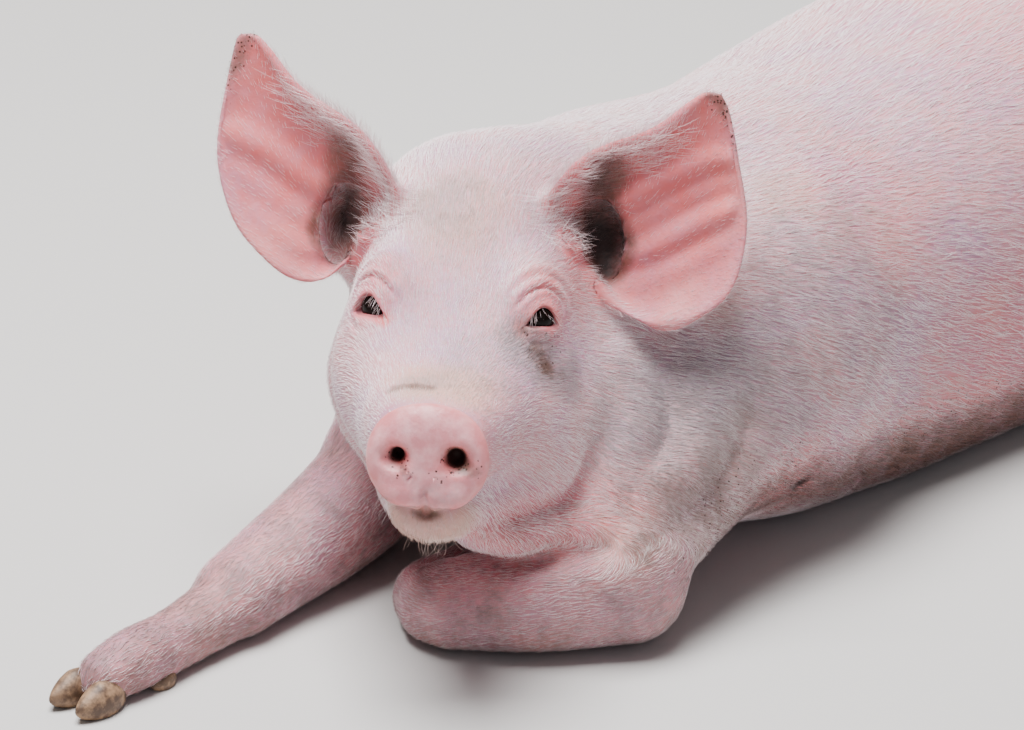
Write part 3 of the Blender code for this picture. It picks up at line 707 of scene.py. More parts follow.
def body_creases() -> list[Crease]:
    """Folds of the neck, the arms and the flanks."""
    shoulder = flip([(0.15, -0.262, 0.135), (0.1628, -0.285, 0.1097), (0.17, -0.312, 0.094),
                     (0.1682, -0.3299, 0.0871), (0.1682, -0.3814, 0.0754)])
    valley = flip([(0.1, -0.316, 0.178), (0.111, -0.3138, 0.1646), (0.1265, -0.317, 0.1476),
                   (0.1438, -0.3306, 0.125), (0.1493, -0.3619, 0.1046)])
    arm = flip([(0.0893, -0.4434, 0.0564), (0.1187, -0.4228, 0.0628), (0.1478, -0.4023, 0.0724),
                (0.1612, -0.391, 0.0764)])
    flank = flip([(0.158, 0.06, 0.06), (0.15, 0.11, 0.095), (0.14, 0.15, 0.14), (0.128, 0.19, 0.18)])
    elbow = flip([(0.16, -0.23, 0.02), (0.168, -0.262, 0.03), (0.176, -0.3, 0.045)])
    found = [
        Crease("behind the jowl", valley, 0.0035, 0.01, 0.003),
        Crease("front of the shoulder", shoulder, 0.0036, 0.0105, 0.002),
        Crease("arm against the neck", arm, 0.004, 0.007, 0.0015),
        Crease("elbow fold", elbow, 0.0024, 0.009, 0.001),
    ]
    for hand in (list, mirrored):
        found.append(Crease("flank fold", hand(flank), 0.004, 0.016, 0.002))
    return found


# ------------------------------------------------------------------------------------- meshes


def mesh_points(mesh: bpy.types.Mesh, what: str = "co") -> np.ndarray:
    """The places of a mesh's points, or their normals, one row each."""
    found = np.empty(len(mesh.vertices) * 3)
    mesh.vertices.foreach_get(what, found)
    return found.reshape(-1, 3)


def set_points(mesh: bpy.types.Mesh, points: np.ndarray) -> None:
    """Moves a mesh's points."""
    mesh.vertices.foreach_set("co", np.ascontiguousarray(points, np.float32).ravel())
    mesh.update()


def write_layer(mesh: bpy.types.Mesh, name: str, values: np.ndarray, domain: str = "POINT") -> None:
    """Stores a named number, or a vector, for each point of a mesh.

    Args:
        mesh: The mesh.
        name: What the values are called.
        values: One number or three for each point.
        domain: POINT, or CORNER for one value at each corner of a face.
    """
    wide = values.shape[1:] == (3,)
    layer = mesh.attributes.new(name, "FLOAT_VECTOR" if wide else "FLOAT", domain)
    layer.data.foreach_set("vector" if wide else "value", values.astype(np.float32).ravel())


def put(name: str, mesh: bpy.types.Mesh) -> bpy.types.Object:
    """A new object with this mesh in the scene."""
    thing = bpy.data.objects.new(name, mesh)
    bpy.context.scene.collection.objects.link(thing)
    return thing


def settled(thing: bpy.types.Object) -> bpy.types.Object:
    """Replaces an object's mesh by what its modifiers make of it."""
    made = bpy.data.meshes.new_from_object(thing.evaluated_get(bpy.context.evaluated_depsgraph_get()))
    thing.modifiers.clear()
    thing.data = made
    return thing


def from_bmesh(name: str, bm: bmesh.types.BMesh) -> bpy.types.Mesh:
    """The mesh of a bmesh, which is then freed."""
    mesh = bpy.data.meshes.new(name)
    bm.to_mesh(mesh)
    bm.free()
    return mesh


def discard(thing: bpy.types.Object) -> None:
    """Takes a helper out of the file."""
    mesh = thing.data
    bpy.data.objects.remove(thing)
    bpy.data.meshes.remove(mesh)


@dataclass
class Flesh:
    """The smooth blend of forms, laid a little below the surface by the depth of the coat.

    Args:
        parts: Each form with its blend; a negative blend carves.
        coat_depth: How deep the skin lies under the coat.
        bare_depth: How deep it lies where it is bare.
        bare_middle: The middle of the bare disc, in the head's frame.
    """

    parts: Sequence[tuple[Form, float]]
    coat_depth: float = 0.0009
    bare_depth: float = 0.0003
    bare_middle: Row = (0.0, -0.002, 0.0)

    def depth(self, points: np.ndarray) -> np.ndarray:
        """How far the skin lies below the outer surface."""
        away = np.linalg.norm(points - HEAD.place(self.bare_middle), axis=1)
        return self.bare_depth + (self.coat_depth - self.bare_depth) * smooth_step(away, 0.036, 0.06)

    def distance(self, points: np.ndarray) -> np.ndarray:
        """How far points are outside the skin."""
        found = np.full(len(points), 1.0)
        for form, blend in self.parts:
            near = np.linalg.norm(points - form.centre, axis=1) < form.reach + abs(blend) + 0.03
            if not near.any():
                continue
            here = form.distance(points[near])
            if blend > 0:
                found[near] = smooth_min(found[near], here, blend)
            else:
                found[near] = -smooth_min(-found[near], here, -blend)
        found += self.depth(points)
        return -smooth_min(-found, points[:, 2], FLOOR_ROUND)

    def draw(self, points: np.ndarray, rounds: int, limit: float = 0.02) -> np.ndarray:
        """Moves points straight onto the skin."""
        step = 1e-4
        for _ in range(rounds):
            here = self.distance(points)
            slope = np.stack([(self.distance(points + step * axis) - here) / step for axis in np.eye(3)], 1)
            move = here / np.maximum((slope**2).sum(1), 0.25)
            points = points - np.clip(move, -limit, limit)[:, None] * slope
        points[:, 2] = np.maximum(points[:, 2], 0.0)
        return points

    def beads(self, name: str) -> bpy.types.Object:
        """Rough balls that fill the blend, as one object."""
        bm = bmesh.new()
        for form, blend in self.parts:
            for centre, axes, radii in form.beads() if blend > 0 else ():
                for vertex in bmesh.ops.create_icosphere(bm, subdivisions=2, radius=1.0)["verts"]:
                    vertex.co = centre + (np.array(vertex.co) * radii) @ axes
        return put(name, from_bmesh(name, bm))


@dataclass(frozen=True)
class Grain:
    """How fine the skin's mesh is round a place.

    Args:
        middle: The place, in the frame.
        near: Full fineness within this distance.
        far: No effect beyond this distance.
        edge: The length of an edge there.
    """

    middle: Row
    near: float
    far: float
    edge: float
    frame: Frame = HEAD


@dataclass
class SkinMesh:
    """Builds one closed mesh of the whole skin, finest where the face has most detail.

    Args:
        flesh: The field it is drawn onto, with ears and pits.
        trunk: The same field without the ears, which the first rough mesh follows.
        ears: The ears, each with a shell of its own.
        eyes: The eyes, whose lids are finest.
        pits: Hollows that are cut into the first mesh, such as nostrils.
        rods: Thin forms that are joined to the first mesh, such as the tail.
        creases: The folds pressed in at the end.
        grains: Where the mesh is finer.
    """

    flesh: Flesh
    trunk: Flesh
    ears: Sequence[EarLeaf]
    eyes: Sequence[EyeSite]
    pits: Sequence[Form] = ()
    rods: Sequence[Form] = ()
    first_voxel: float = 0.0085
    plain_edge: float = 0.01
    creases: Sequence[Crease] = ()
    grains: Sequence[Grain] = (
        Grain((0.0, -0.11, 0.02), 0.115, 0.22, 0.0034),
        Grain((0.0, -0.012, 0.0), 0.038, 0.075, 0.0017),
        Grain((0.0, -0.25, 0.0), 0.16, 0.3, 0.0052),
        Grain((0.018, -0.003, 0.001), 0.009, 0.018, 0.001),
        Grain((-0.018, -0.003, 0.001), 0.009, 0.018, 0.001),
        Grain((0.0, -0.02, -0.032), 0.024, 0.05, 0.0015),
        Grain((0.036, -0.062, -0.04), 0.022, 0.05, 0.0018),
        Grain((-0.036, -0.062, -0.04), 0.022, 0.05, 0.0018),
    )

    def target(self, points: np.ndarray) -> np.ndarray:
        """The edge length wanted at each place."""
        wanted = np.full(len(points), self.plain_edge)
        for grain in self.grains:
            away = np.linalg.norm(points - grain.frame.place(grain.middle), axis=1)
            wanted = np.minimum(wanted, grain.edge + (self.plain_edge - grain.edge)
                                * smooth_step(away, grain.near, grain.far))
        for eye in self.eyes:
            away = eye.nearness(points)
            wanted = np.minimum(wanted, 0.0009 + (self.plain_edge - 0.0009)
                                * smooth_step(away, 0.0165, 0.075))
        for leaf in self.ears:
            away = np.linalg.norm(points - leaf.centre, axis=1)
            wanted = np.minimum(wanted, np.where(away < leaf.reach, 0.004, self.plain_edge))
        legs = smooth_step(points[:, 1], -0.2, -0.36) * smooth_step(points[:, 2], 0.13, 0.07)
        return np.minimum(wanted, self.plain_edge + (0.0052 - self.plain_edge) * legs)

    def leaf_shell(self, leaf: EarLeaf) -> bpy.types.Object:
        """A closed shell round the sheet of an ear."""
        normals = np.zeros_like(leaf.grid)
        for a, b, c in ((0, 1, 2), (0, 2, 3)):
            first, second, third = (leaf.grid[leaf.quads[:, i]] for i in (a, b, c))
            area = np.cross(second - first, third - first)
            for corner in (a, b, c):
                np.add.at(normals, leaf.quads[:, corner], area)
        normals /= np.linalg.norm(normals, axis=1)[:, None]
        half = leaf.thickness[:, None] / 2
        count = len(leaf.grid)
        outward = leaf.rim_outward(normals)
        rim = leaf.grid + outward * half
        points = np.vstack([leaf.grid + normals * half * 0.9, leaf.grid - normals * half * 0.9, rim])
        faces = [tuple(map(int, quad)) for quad in leaf.quads]
        faces += [tuple(int(i) + count for i in quad[::-1]) for quad in leaf.quads]
        rows, columns = leaf.rows, leaf.columns
        ring = [i * columns for i in range(rows)] + [(rows - 1) * columns + j for j in range(1, columns)]
        ring += [i * columns + columns - 1 for i in range(rows - 2, -1, -1)] + list(range(columns - 2, 0, -1))
        for a, b in zip(ring, ring[1:] + ring[:1]):
            faces += [(b, a, a + 2 * count, b + 2 * count),
                      (b + 2 * count, a + 2 * count, a + count, b + count)]
        bm = bmesh.new()
        used = set(i for face in faces for i in face)
        corners = {i: bm.verts.new(points[i]) for i in sorted(used)}
        for face in faces:
            bm.faces.new([corners[i] for i in face])
        bmesh.ops.recalc_face_normals(bm, faces=bm.faces)
        return put("ear_shell", from_bmesh("ear_shell", bm))

    def plug(self, form: Form) -> bpy.types.Object:
        """A closed solid of a small form by itself."""
        plug = Flesh([(form, 0.001)]).beads("plug")
        remesh = plug.modifiers.new("remesh", "REMESH")
        remesh.mode = "VOXEL"
        remesh.voxel_size = 0.0022
        return settled(plug)

    def combine(self, thing: bpy.types.Object, other: bpy.types.Object, operation: str) -> None:
        """Joins another closed solid on, or cuts it away, and takes it out of the file."""
        step = thing.modifiers.new("combine", "BOOLEAN")
        step.operation = operation
        step.solver = "MANIFOLD"
        step.object = other
        settled(thing)
        discard(other)

    def first_mesh(self, name: str) -> bpy.types.Object:
        """The rough mesh of the body with the ears joined on."""
        bulk = Flesh([part for part in self.trunk.parts if part[0] not in self.rods])
        thing = bulk.beads(name)
        for size in (self.first_voxel * 1.2, self.first_voxel):
            remesh = thing.modifiers.new("remesh", "REMESH")
            remesh.mode = "VOXEL"
            remesh.voxel_size = size
            settled(thing)
            set_points(thing.data, bulk.draw(mesh_points(thing.data), 3))
        for leaf in self.ears:
            self.combine(thing, self.leaf_shell(leaf), "UNION")
        for rod in self.rods:
            self.combine(thing, self.plug(rod), "UNION")
        for pit in self.pits:
            self.combine(thing, self.plug(pit), "DIFFERENCE")
        LOG.info("first mesh: %d points", len(thing.data.vertices))
        return thing

    def held(self, points: np.ndarray) -> np.ndarray:
        """The share by which points may move: the ears keep the shape of their own shells."""
        return smooth_step(self.trunk.distance(points), 0.022, 0.012)

    def relaxed(self, bm: bmesh.types.BMesh, share: float, rounds: int,
                fresh: np.ndarray | None = None) -> None:
        """Evens out the spacing of the points within the surface, then draws them back onto it.

        Args:
            bm: The mesh.
            share: How far points move towards the middle of their neighbours.
            rounds: How often this is done.
            fresh: Which points are new; only they and their neighbours move. All move without it.
        """
        bm.verts.index_update()
        bm.verts.ensure_lookup_table()
        edges = np.array([(e.verts[0].index, e.verts[1].index) for e in bm.edges])
        points = np.array([v.co[:] for v in bm.verts])
        active = np.ones(len(points), bool) if fresh is None else fresh.copy()
        for _ in range(3):
            touched = active[edges].any(1)
            active[edges[touched]] = True
        active = np.flatnonzero(active)
        hold = self.held(points[active])[:, None]
        for _ in range(rounds):
            bm.normal_update()
            normals = np.array([v.normal[:] for v in bm.verts])
            total, count = np.zeros_like(points), np.zeros(len(points))
            for a, b in ((0, 1), (1, 0)):
                for axis in range(3):
                    total[:, axis] += np.bincount(edges[:, a], points[edges[:, b], axis], len(points))
                count += np.bincount(edges[:, a], minlength=len(points))
            move = total / count[:, None] - points
            move -= normals * (move * normals).sum(1)[:, None]
            here = points[active]
            drawn = self.flesh.draw(here + share * move[active], 1, 0.006)
            points[active] = here + (drawn - here) * hold
            for i in active:
                bm.verts[i].co = points[i]

    def refine(self, thing: bpy.types.Object) -> None:
        """Splits edges until each is as short as wanted at its place."""
        bm = bmesh.new()
        bm.from_mesh(thing.data)
        bmesh.ops.triangulate(bm, faces=bm.faces)
        for turn in range(6):
            points = np.array([v.co[:] for v in bm.verts])
            bm.verts.index_update()
            bm.edges.ensure_lookup_table()
            ends = np.array([(e.verts[0].index, e.verts[1].index) for e in bm.edges])
            length = np.linalg.norm(points[ends[:, 0]] - points[ends[:, 1]], axis=1)
            wanted = self.target((points[ends[:, 0]] + points[ends[:, 1]]) / 2)
            chosen = np.flatnonzero(length > 1.45 * wanted)
            if len(chosen) < 40:
                break
            bmesh.ops.subdivide_edges(bm, edges=[bm.edges[i] for i in chosen], cuts=1)
            bmesh.ops.triangulate(bm, faces=[face for face in bm.faces if len(face.verts) > 3])
            fresh = np.arange(len(bm.verts)) >= len(points)
            bm.verts.index_update()
            near = [face for face in bm.faces if any(fresh[vertex.index] for vertex in face.verts)]
            solid = self.trunk.distance(np.array([face.calc_center_median()[:] for face in near])) < 0.012
            loose = [face for face, inside in zip(near, solid) if inside]
            # A dict keeps its order, where a set's would change from run to run.
            inner = dict.fromkeys(edge for face in loose for edge in face.edges)
            bmesh.ops.beautify_fill(bm, faces=loose, edges=list(inner), method="ANGLE")
            self.relaxed(bm, 0.6, 2, fresh if turn else None)
            LOG.info("refined %d: %d points", turn, len(bm.verts))
        self.relaxed(bm, 0.5, 3)
        bm.to_mesh(thing.data)
        bm.free()

    def fold(self, mesh: bpy.types.Mesh) -> None:
        """Presses the creases in."""
        points, normals = mesh_points(mesh), mesh_points(mesh, "normal")
        rise = np.zeros(len(points))
        for crease in self.creases:
            rise += crease.rise(points)
            LOG.info("pressed in: %s", crease.name)
        loose = smooth_step(points[:, 2], 0.001, 0.01)
        points += normals * (rise * loose)[:, None]
        points[:, 2] = np.maximum(points[:, 2], 0.0)
        set_points(mesh, points)

    def build(self, name: str) -> bpy.types.Object:
        """The whole skin as one object."""
        thing = self.first_mesh(name)
        self.refine(thing)
        self.fold(thing.data)
        thing.data.shade_smooth()
        LOG.info("skin: %d triangles", len(thing.data.polygons))
        return thing


# ------------------------------------------------------------------------------------- markings


class Mark(Enum):
    """What colours the skin and the coat at a place; each is an attribute of the mesh."""

    BLUSH = "blush"  # blood near the surface
    # dried mud; under the disc's lower edge, round the ear canals, along the throat and on the legs it is
    # also painted shade
    MUD = "mud"
    GREY = "grey"  # dry dirt rubbed into the hair; on the neck, the shoulders, the middle of the face and the legs it is also painted shade
    BEIGE = "beige"  # old stain
    MOIST = "moist"  # bare wet skin of the disc
    SPECK = "speck"  # crumbs of dirt and freckles
    DARK = "dark"  # painted shade of deep hollows, narrow gaps and the opening between the lids


@dataclass(frozen=True)
class Patch:
    """A soft-edged oval of a marking.

    Args:
        mark: Which marking.
        middle: Its centre as left, forward and up.
        radii: How far it reaches along those directions.
        strength: How strong it is in the middle.
        frame: The frame it is given in.
        both: Whether the other side has it too.
    """

    mark: Mark
    middle: Row
    radii: Row
    strength: float
    frame: Frame = HEAD
    both: bool = True

    def cover(self, points: np.ndarray) -> np.ndarray:
        """Its strength at each point."""
        local = self.frame.local(points)
        if self.both:
            local = local * np.where(local[:, :1] * self.middle[0] < 0, (-1.0, 1.0, 1.0), 1.0)
        away = np.linalg.norm((local - self.middle) / self.radii, axis=1)
        return self.strength * smooth_step(away, 1.25, 0.35)


@dataclass(frozen=True)
class Smear:
    """A marking along a line.

    Args:
        mark: Which marking.
        path: Points on the skin, in the frame.
        width: How far it reaches from the line.
        strength: How strong it is on the line.
        frame: The frame it is given in.
    """

    mark: Mark
    path: Sequence[Row]
    width: float
    strength: float
    frame: Frame = WORLD

    def cover(self, points: np.ndarray) -> np.ndarray:
        """Its strength at each point."""
        gap, _ = beside_line(self.path, self.frame, points)
        return self.strength * smooth_step(gap, 1.3 * self.width, 0.3 * self.width)


def markings() -> list[Patch | Smear]:
    """Every marking apart from those that belong to the ears, the legs and the hollows."""
    belly = flip([(0.1672, -0.3104, 0.0602), (0.1531, -0.2251, 0.057), (0.1525, -0.1937, 0.0557),
                  (0.1445, -0.1459, 0.0474), (0.1378, -0.0885, 0.0331), (0.1393, -0.0503, 0.0316),
                  (0.1435, -0.0151, 0.0358), (0.15, 0.06, 0.03)])
    shoulder = flip([(0.1628, -0.285, 0.1097), (0.1682, -0.3299, 0.0871), (0.1682, -0.3814, 0.0754)])
    lip = [(-0.023, -0.009, -0.0275), (-0.01, -0.0075, -0.033), (0.0004, -0.007, -0.0348),
           (0.011, -0.0075, -0.033), (0.024, -0.009, -0.027)]
    throat = [(0.028, -0.05, -0.056), (0.047, -0.0845, -0.06), (0.068, -0.1065, -0.057),
              (0.0912, -0.1092, -0.0488), (0.1135, -0.1178, -0.0371), (0.1353, -0.1351, -0.0273)]
    low = flip([(0.15, -0.29, 0.02), (0.14, -0.15, 0.014), (0.14, 0.0, 0.012), (0.145, 0.15, 0.012)])
    ovals = {  # marking, frame and whether both sides have it: middle, radii and strength of each
        (Mark.BLUSH, HEAD, True): [
            ((0.0526, -0.1127, 0.064), (0.021, 0.024, 0.018), 0.5),
            ((0.05, -0.123, 0.083), (0.02, 0.02, 0.014), 0.6),
            ((0.0405, -0.105, 0.0565), (0.007, 0.008, 0.006), 0.95),
            ((0.07, -0.16, 0.08), (0.02, 0.03, 0.03), 0.35),
            ((0.046, -0.09, -0.04), (0.02, 0.03, 0.016), 0.35),
            ((0.0, -0.02, 0.0), (0.04, 0.012, 0.034), 0.4),
            ((0.03, -0.13, -0.085), (0.05, 0.07, 0.028), 0.4),
        ],
        (Mark.MUD, HEAD, True): [
            ((0.041, -0.105, 0.056), (0.004, 0.006, 0.004), 0.45),
            # The next two: brown at the mouth of each ear canal and above it to the front rim, partly dirt
            # and partly painted shade of the canal.
            ((0.09, -0.177, 0.096), (0.014, 0.016, 0.019), 0.62),
            ((0.079, -0.172, 0.138), (0.02, 0.018, 0.023), 0.72),
        ],
        # Painted shade behind the front rim of each ear, over the canal.
        (Mark.DARK, HEAD, True): [
            ((0.0745, -0.174, 0.126), (0.012, 0.016, 0.018), 0.55),
        ],
        (Mark.BLUSH, WORLD, True): [
            ((0.13, 0.25, 0.06), (0.06, 0.06, 0.06), 0.55),
            ((0.1, 0.12, 0.19), (0.07, 0.07, 0.06), 0.3),
            ((0.14, 0.0, 0.09), (0.05, 0.12, 0.07), 0.45),
            ((0.13, -0.28, 0.1), (0.06, 0.09, 0.08), 0.35),
            ((0.05, -0.12, 0.24), (0.09, 0.12, 0.06), 0.22),
        ],
        (Mark.GREY, HEAD, False): [
            ((-0.012, -0.16, 0.118), (0.032, 0.034, 0.034), 0.36),
            # Partly dirt and partly painted shade on the middle of the face.
            ((0.025, -0.072, 0.042), (0.046, 0.05, 0.04), 0.42),
            # Partly dirt and partly painted shade on the side of the neck.
            ((0.115, -0.148, -0.006), (0.062, 0.066, 0.074), 0.5),
            ((-0.04, -0.13, 0.07), (0.022, 0.03, 0.03), 0.4),
            ((-0.014, -0.044, 0.033), (0.026, 0.014, 0.01), 0.45),
            ((0.006, 0.0, -0.02), (0.026, 0.01, 0.012), 0.45),
        ],
        (Mark.BEIGE, HEAD, False): [
            ((0.0, -0.043, 0.034), (0.044, 0.036, 0.022), 0.72),
            ((0.0, -0.025, -0.046), (0.04, 0.04, 0.024), 0.95),
            ((-0.01, -0.156, 0.114), (0.042, 0.042, 0.04), 0.45),
        ],
        (Mark.BEIGE, WORLD, False): [
            ((0.0912, 0.1775, 0.22), (0.03, 0.04, 0.03), 0.4),
            ((0.1258, 0.1413, 0.193), (0.03, 0.05, 0.03), 0.34),
            ((0.1219, 0.2645, 0.1821), (0.035, 0.03, 0.03), 0.3),
            ((-0.03, 0.08, 0.262), (0.06, 0.08, 0.03), 0.25),
        ],
        (Mark.BEIGE, WORLD, True): [
            ((0.12, -0.3, 0.2), (0.06, 0.08, 0.06), 0.3),
        ],
        (Mark.GREY, WORLD, False): [
            ((0.1063, 0.1387, 0.2068), (0.018, 0.02, 0.018), 0.3),
            ((0.11, -0.4, 0.03), (0.09, 0.08, 0.05), 0.4),
            # The next two are partly dirt and partly painted shade on the left shoulder and the top of the
            # left arm.
            ((0.15, 0.3, 0.115), (0.07, 0.085, 0.08), 0.48),
            ((0.14, 0.2, 0.16), (0.085, 0.11, 0.09), 0.46),
        ],
        (Mark.SPECK, HEAD, True): [
            ((0.0, 0.0, 0.0), (0.04, 0.02, 0.034), 0.1),
        ],
        (Mark.SPECK, HEAD, False): [
            ((0.023, 0.0, -0.004), (0.012, 0.012, 0.009), 0.8),
            ((0.008, 0.0, -0.008), (0.01, 0.012, 0.007), 0.65),
            ((-0.012, 0.0, -0.009), (0.009, 0.012, 0.007), 0.75),
            ((-0.02, 0.0, -0.025), (0.016, 0.012, 0.006), 0.55),
            ((-0.01, -0.14, 0.1), (0.05, 0.05, 0.045), 0.35),
            ((0.055, -0.105, 0.045), (0.03, 0.03, 0.025), 0.55),
        ],
        (Mark.MUD, HEAD, False): [
            ((0.025, 0.0, -0.005), (0.0085, 0.01, 0.006), 0.66),
            ((-0.012, 0.0, -0.007), (0.005, 0.01, 0.0045), 0.62),
            ((0.015, 0.0, 0.007), (0.007, 0.01, 0.0035), 0.5),
            ((-0.022, -0.002, -0.0245), (0.014, 0.008, 0.004), 0.55),
        ],
        # Painted shade in the notch under the disc.
        (Mark.DARK, HEAD, False): [
            ((0.0004, -0.002, -0.0315), (0.0044, 0.008, 0.0036), 0.6),
        ],
        # Painted shade in the fold where the left elbow meets the belly.
        (Mark.DARK, WORLD, False): [
            ((0.1531, 0.2251, 0.057), (0.0075, 0.011, 0.006), 1.0),
        ],
        (Mark.MUD, WORLD, True): [
            ((0.15, -0.26, 0.02), (0.07, 0.12, 0.04), 0.45),
        ],
    }
    found: list[Patch | Smear] = [
        Smear(Mark.MUD, [(0.0486, -0.104, 0.0453), (0.0525, -0.1025, 0.04), (0.0551, -0.102, 0.036)],
              0.0085, 0.62, HEAD),
        Smear(Mark.MUD, [(0.0551, -0.102, 0.036), (0.0609, -0.105, 0.031), (0.066, -0.11, 0.029)],
              0.006, 0.42, HEAD),
        Smear(Mark.GREY, [(0.0419, -0.1026, 0.0509), (0.048, -0.103, 0.044), (0.056, -0.102, 0.036),
                          (0.0648, -0.1083, 0.0287)], 0.019, 0.7, HEAD),
        Smear(Mark.GREY, [(0.064, -0.12, 0.047), (0.0684, -0.124, 0.041), (0.07, -0.123, 0.034)],
              0.006, 0.45, HEAD),
        Smear(Mark.MUD, [(-0.028, -0.043, 0.03), (-0.018, -0.041, 0.0322)], 0.006, 0.62, HEAD),
        Smear(Mark.MUD, [(-0.012, -0.0395, 0.033), (-0.004, -0.038, 0.0335)], 0.0056, 0.62, HEAD),
        Smear(Mark.MUD, [(-0.016, 0.0, -0.0275), (0.0, 0.0, -0.03), (0.014, 0.0, -0.0285)],
              0.0034, 0.6, HEAD),
        # Painted shade under the disc's lower edge: a brown band with a darker line in it.
        Smear(Mark.MUD, lip, 0.0056, 0.74, HEAD),
        Smear(Mark.DARK, lip, 0.0032, 0.46, HEAD),
        Smear(Mark.MUD, belly, 0.032, 0.56),
        Smear(Mark.MUD, low, 0.04, 0.52),
        Smear(Mark.SPECK, belly, 0.06, 0.6),
        Smear(Mark.MUD, shoulder, 0.013, 0.34),
        Smear(Mark.BEIGE, shoulder, 0.034, 0.4),
        Smear(Mark.MUD, mirrored(low), 0.036, 0.58),
        Smear(Mark.MUD, mirrored(belly), 0.03, 0.5),
        Smear(Mark.BLUSH, throat, 0.024, 0.6, HEAD),
        # The brown along the throat under the cheek's edge is partly dirt and partly painted shade under the
        # jowl.
        Smear(Mark.MUD, throat, 0.015, 0.36, HEAD),
    ]
    for (mark, frame, both), rows in ovals.items():
        found += [Patch(mark, *row, frame, both) for row in rows]
    return found


@dataclass
class Painter:
    """Works out every marking at the points of the skin and writes them as attributes.

    Args:
        ears: The ears, which are pinker inside and freckled at the tip.
        eyes: The eyes, with painted shade along the opening between their lids.
        hollows: Nostrils and ear canals, with painted shade inside.
    """

    ears: Sequence[EarLeaf]
    eyes: Sequence[EyeSite]
    hollows: Sequence[Form]
    values: dict[Mark, np.ndarray] = field(default_factory=dict)

    def more(self, mark: Mark, cover: np.ndarray) -> None:
        """Adds a cover to a marking, as layers do: it never goes past 1."""
        self.values[mark] = 1.0 - (1.0 - self.values[mark]) * (1.0 - np.clip(cover, 0.0, 1.0))

    def paint_ears(self, points: np.ndarray) -> np.ndarray:
        """The ears' own colours; returns how far each point belongs to an ear."""
        part = np.zeros(len(points))
        for leaf in self.ears:
            near, gap, along, across, front = leaf.beside(points)
            cover, gap_all = np.zeros(len(points)), np.ones(len(points))
            cover[near] = smooth_step(gap, 0.01, 0.003)
            gap_all[near] = gap
            inside, tip, rim = (np.zeros(len(points)) for _ in range(3))
            inside[near] = smooth_step(front, -0.0002, 0.001)
            tip[near] = smooth_step(along, 0.7, 0.9)
            rim[near] = smooth_step(np.minimum(across, 1 - across), 0.1, 0.0)
            upper = np.zeros(len(points))
            upper[near] = smooth_step(along, 0.1, 0.45) * smooth_step(across, 0.95, 0.55)
            part = np.maximum(part, cover)
            self.more(Mark.BLUSH, cover * (0.34 + 0.3 * inside + 0.24 * inside * upper - 0.16 * rim))
            self.more(Mark.SPECK, cover * (0.95 * tip + 0.2 * rim + 0.12 * inside))
            self.more(Mark.GREY, cover * 0.35 * tip)
            self.more(Mark.MUD, cover * 0.48 * tip)
            back = cover * (1.0 - inside) * (1.0 - tip) * smooth_step(gap_all, 0.008, 0.004)
            for mark in (Mark.MUD, Mark.DARK):
                self.values[mark] *= 1.0 - 0.9 * back
        return part

    def paint_hollows(self, points: np.ndarray) -> None:
        """Painted shade inside the hollows, with crumbs round them."""
        for form in self.hollows:
            near = np.flatnonzero(np.linalg.norm(points - form.centre, axis=1) < form.reach + 0.03)
            away = np.full(len(points), 1.0)
            away[near] = form.distance(points[near])
            if isinstance(form, Limb):
                # Painted shade in the ear canal, and brown round it that is partly dirt and partly painted
                # shade.
                self.more(Mark.DARK, smooth_step(away, 0.006, 0.0) + 0.4 * smooth_step(away, 0.016, 0.002))
                self.more(Mark.MUD, 0.7 * smooth_step(away, 0.019, 0.002))
            else:
                depth = smooth_step(HEAD.local(points)[:, 1], 0.0004, -0.006)
                # Painted shade inside the nostril.
                self.more(Mark.DARK, smooth_step(away, 0.0026, 0.0002) * depth * 0.95)
                self.more(Mark.MUD, 0.66 * smooth_step(away, 0.0048, 0.0))
            self.more(Mark.BLUSH, 0.6 * smooth_step(away, 0.01, 0.001))
            self.more(Mark.SPECK, 0.85 * smooth_step(away, 0.007, 0.001))
        for path in (EAR_FOLD, mirrored(EAR_FOLD)):
            gap, _ = beside_line(path, HEAD, points)
            self.more(Mark.BLUSH, 0.65 * smooth_step(gap, 0.016, 0.006))

    def paint_legs(self, points: np.ndarray) -> None:
        """Mud, grey and crumbs on the legs, more mud towards the feet; the grey and part of the mud are also
        painted shade.
        """
        part, mud = np.zeros(len(points)), np.zeros(len(points))
        for name, rows in LIMBS.items():
            limb = Limb(rows, steps=6)
            near = smooth_step(limb.distance(points), 0.02, 0.002)
            part = np.maximum(part, near)
            mud = np.maximum(mud, (0.4 if "foot" in name else 0.28) * near)
        # Partly dirt and partly painted shade on the legs.
        self.more(Mark.BLUSH, 0.34 * part)
        self.more(Mark.GREY, 0.5 * part)
        self.more(Mark.MUD, mud)
        self.more(Mark.SPECK, 0.24 * part)

    def paint(self, mesh: bpy.types.Mesh) -> np.ndarray:
        """Writes the attributes; returns how far each point belongs to an ear."""
        points = mesh_points(mesh)
        self.values = {mark: np.zeros(len(points)) for mark in Mark}
        for marking in markings():
            self.more(marking.mark, marking.cover(points))
        ears = self.paint_ears(points)
        self.paint_hollows(points)
        self.paint_legs(points)
        left, forward, up = HEAD.local(points).T
        inside = (left / 0.0375) ** 2 + (up / 0.0325) ** 2
        disc = smooth_step(inside, 1.12, 0.9) * smooth_step(forward, -0.012, -0.007)
        self.more(Mark.MOIST, disc)
        self.more(Mark.BLUSH, 0.55 * disc * smooth_step(inside, 0.45, 1.05))
        self.more(Mark.MUD, 0.3 * smooth_step(points[:, 2], 0.04, 0.0) * (1 - ears))
        for eye in self.eyes:
            gap = eye.opening(points)
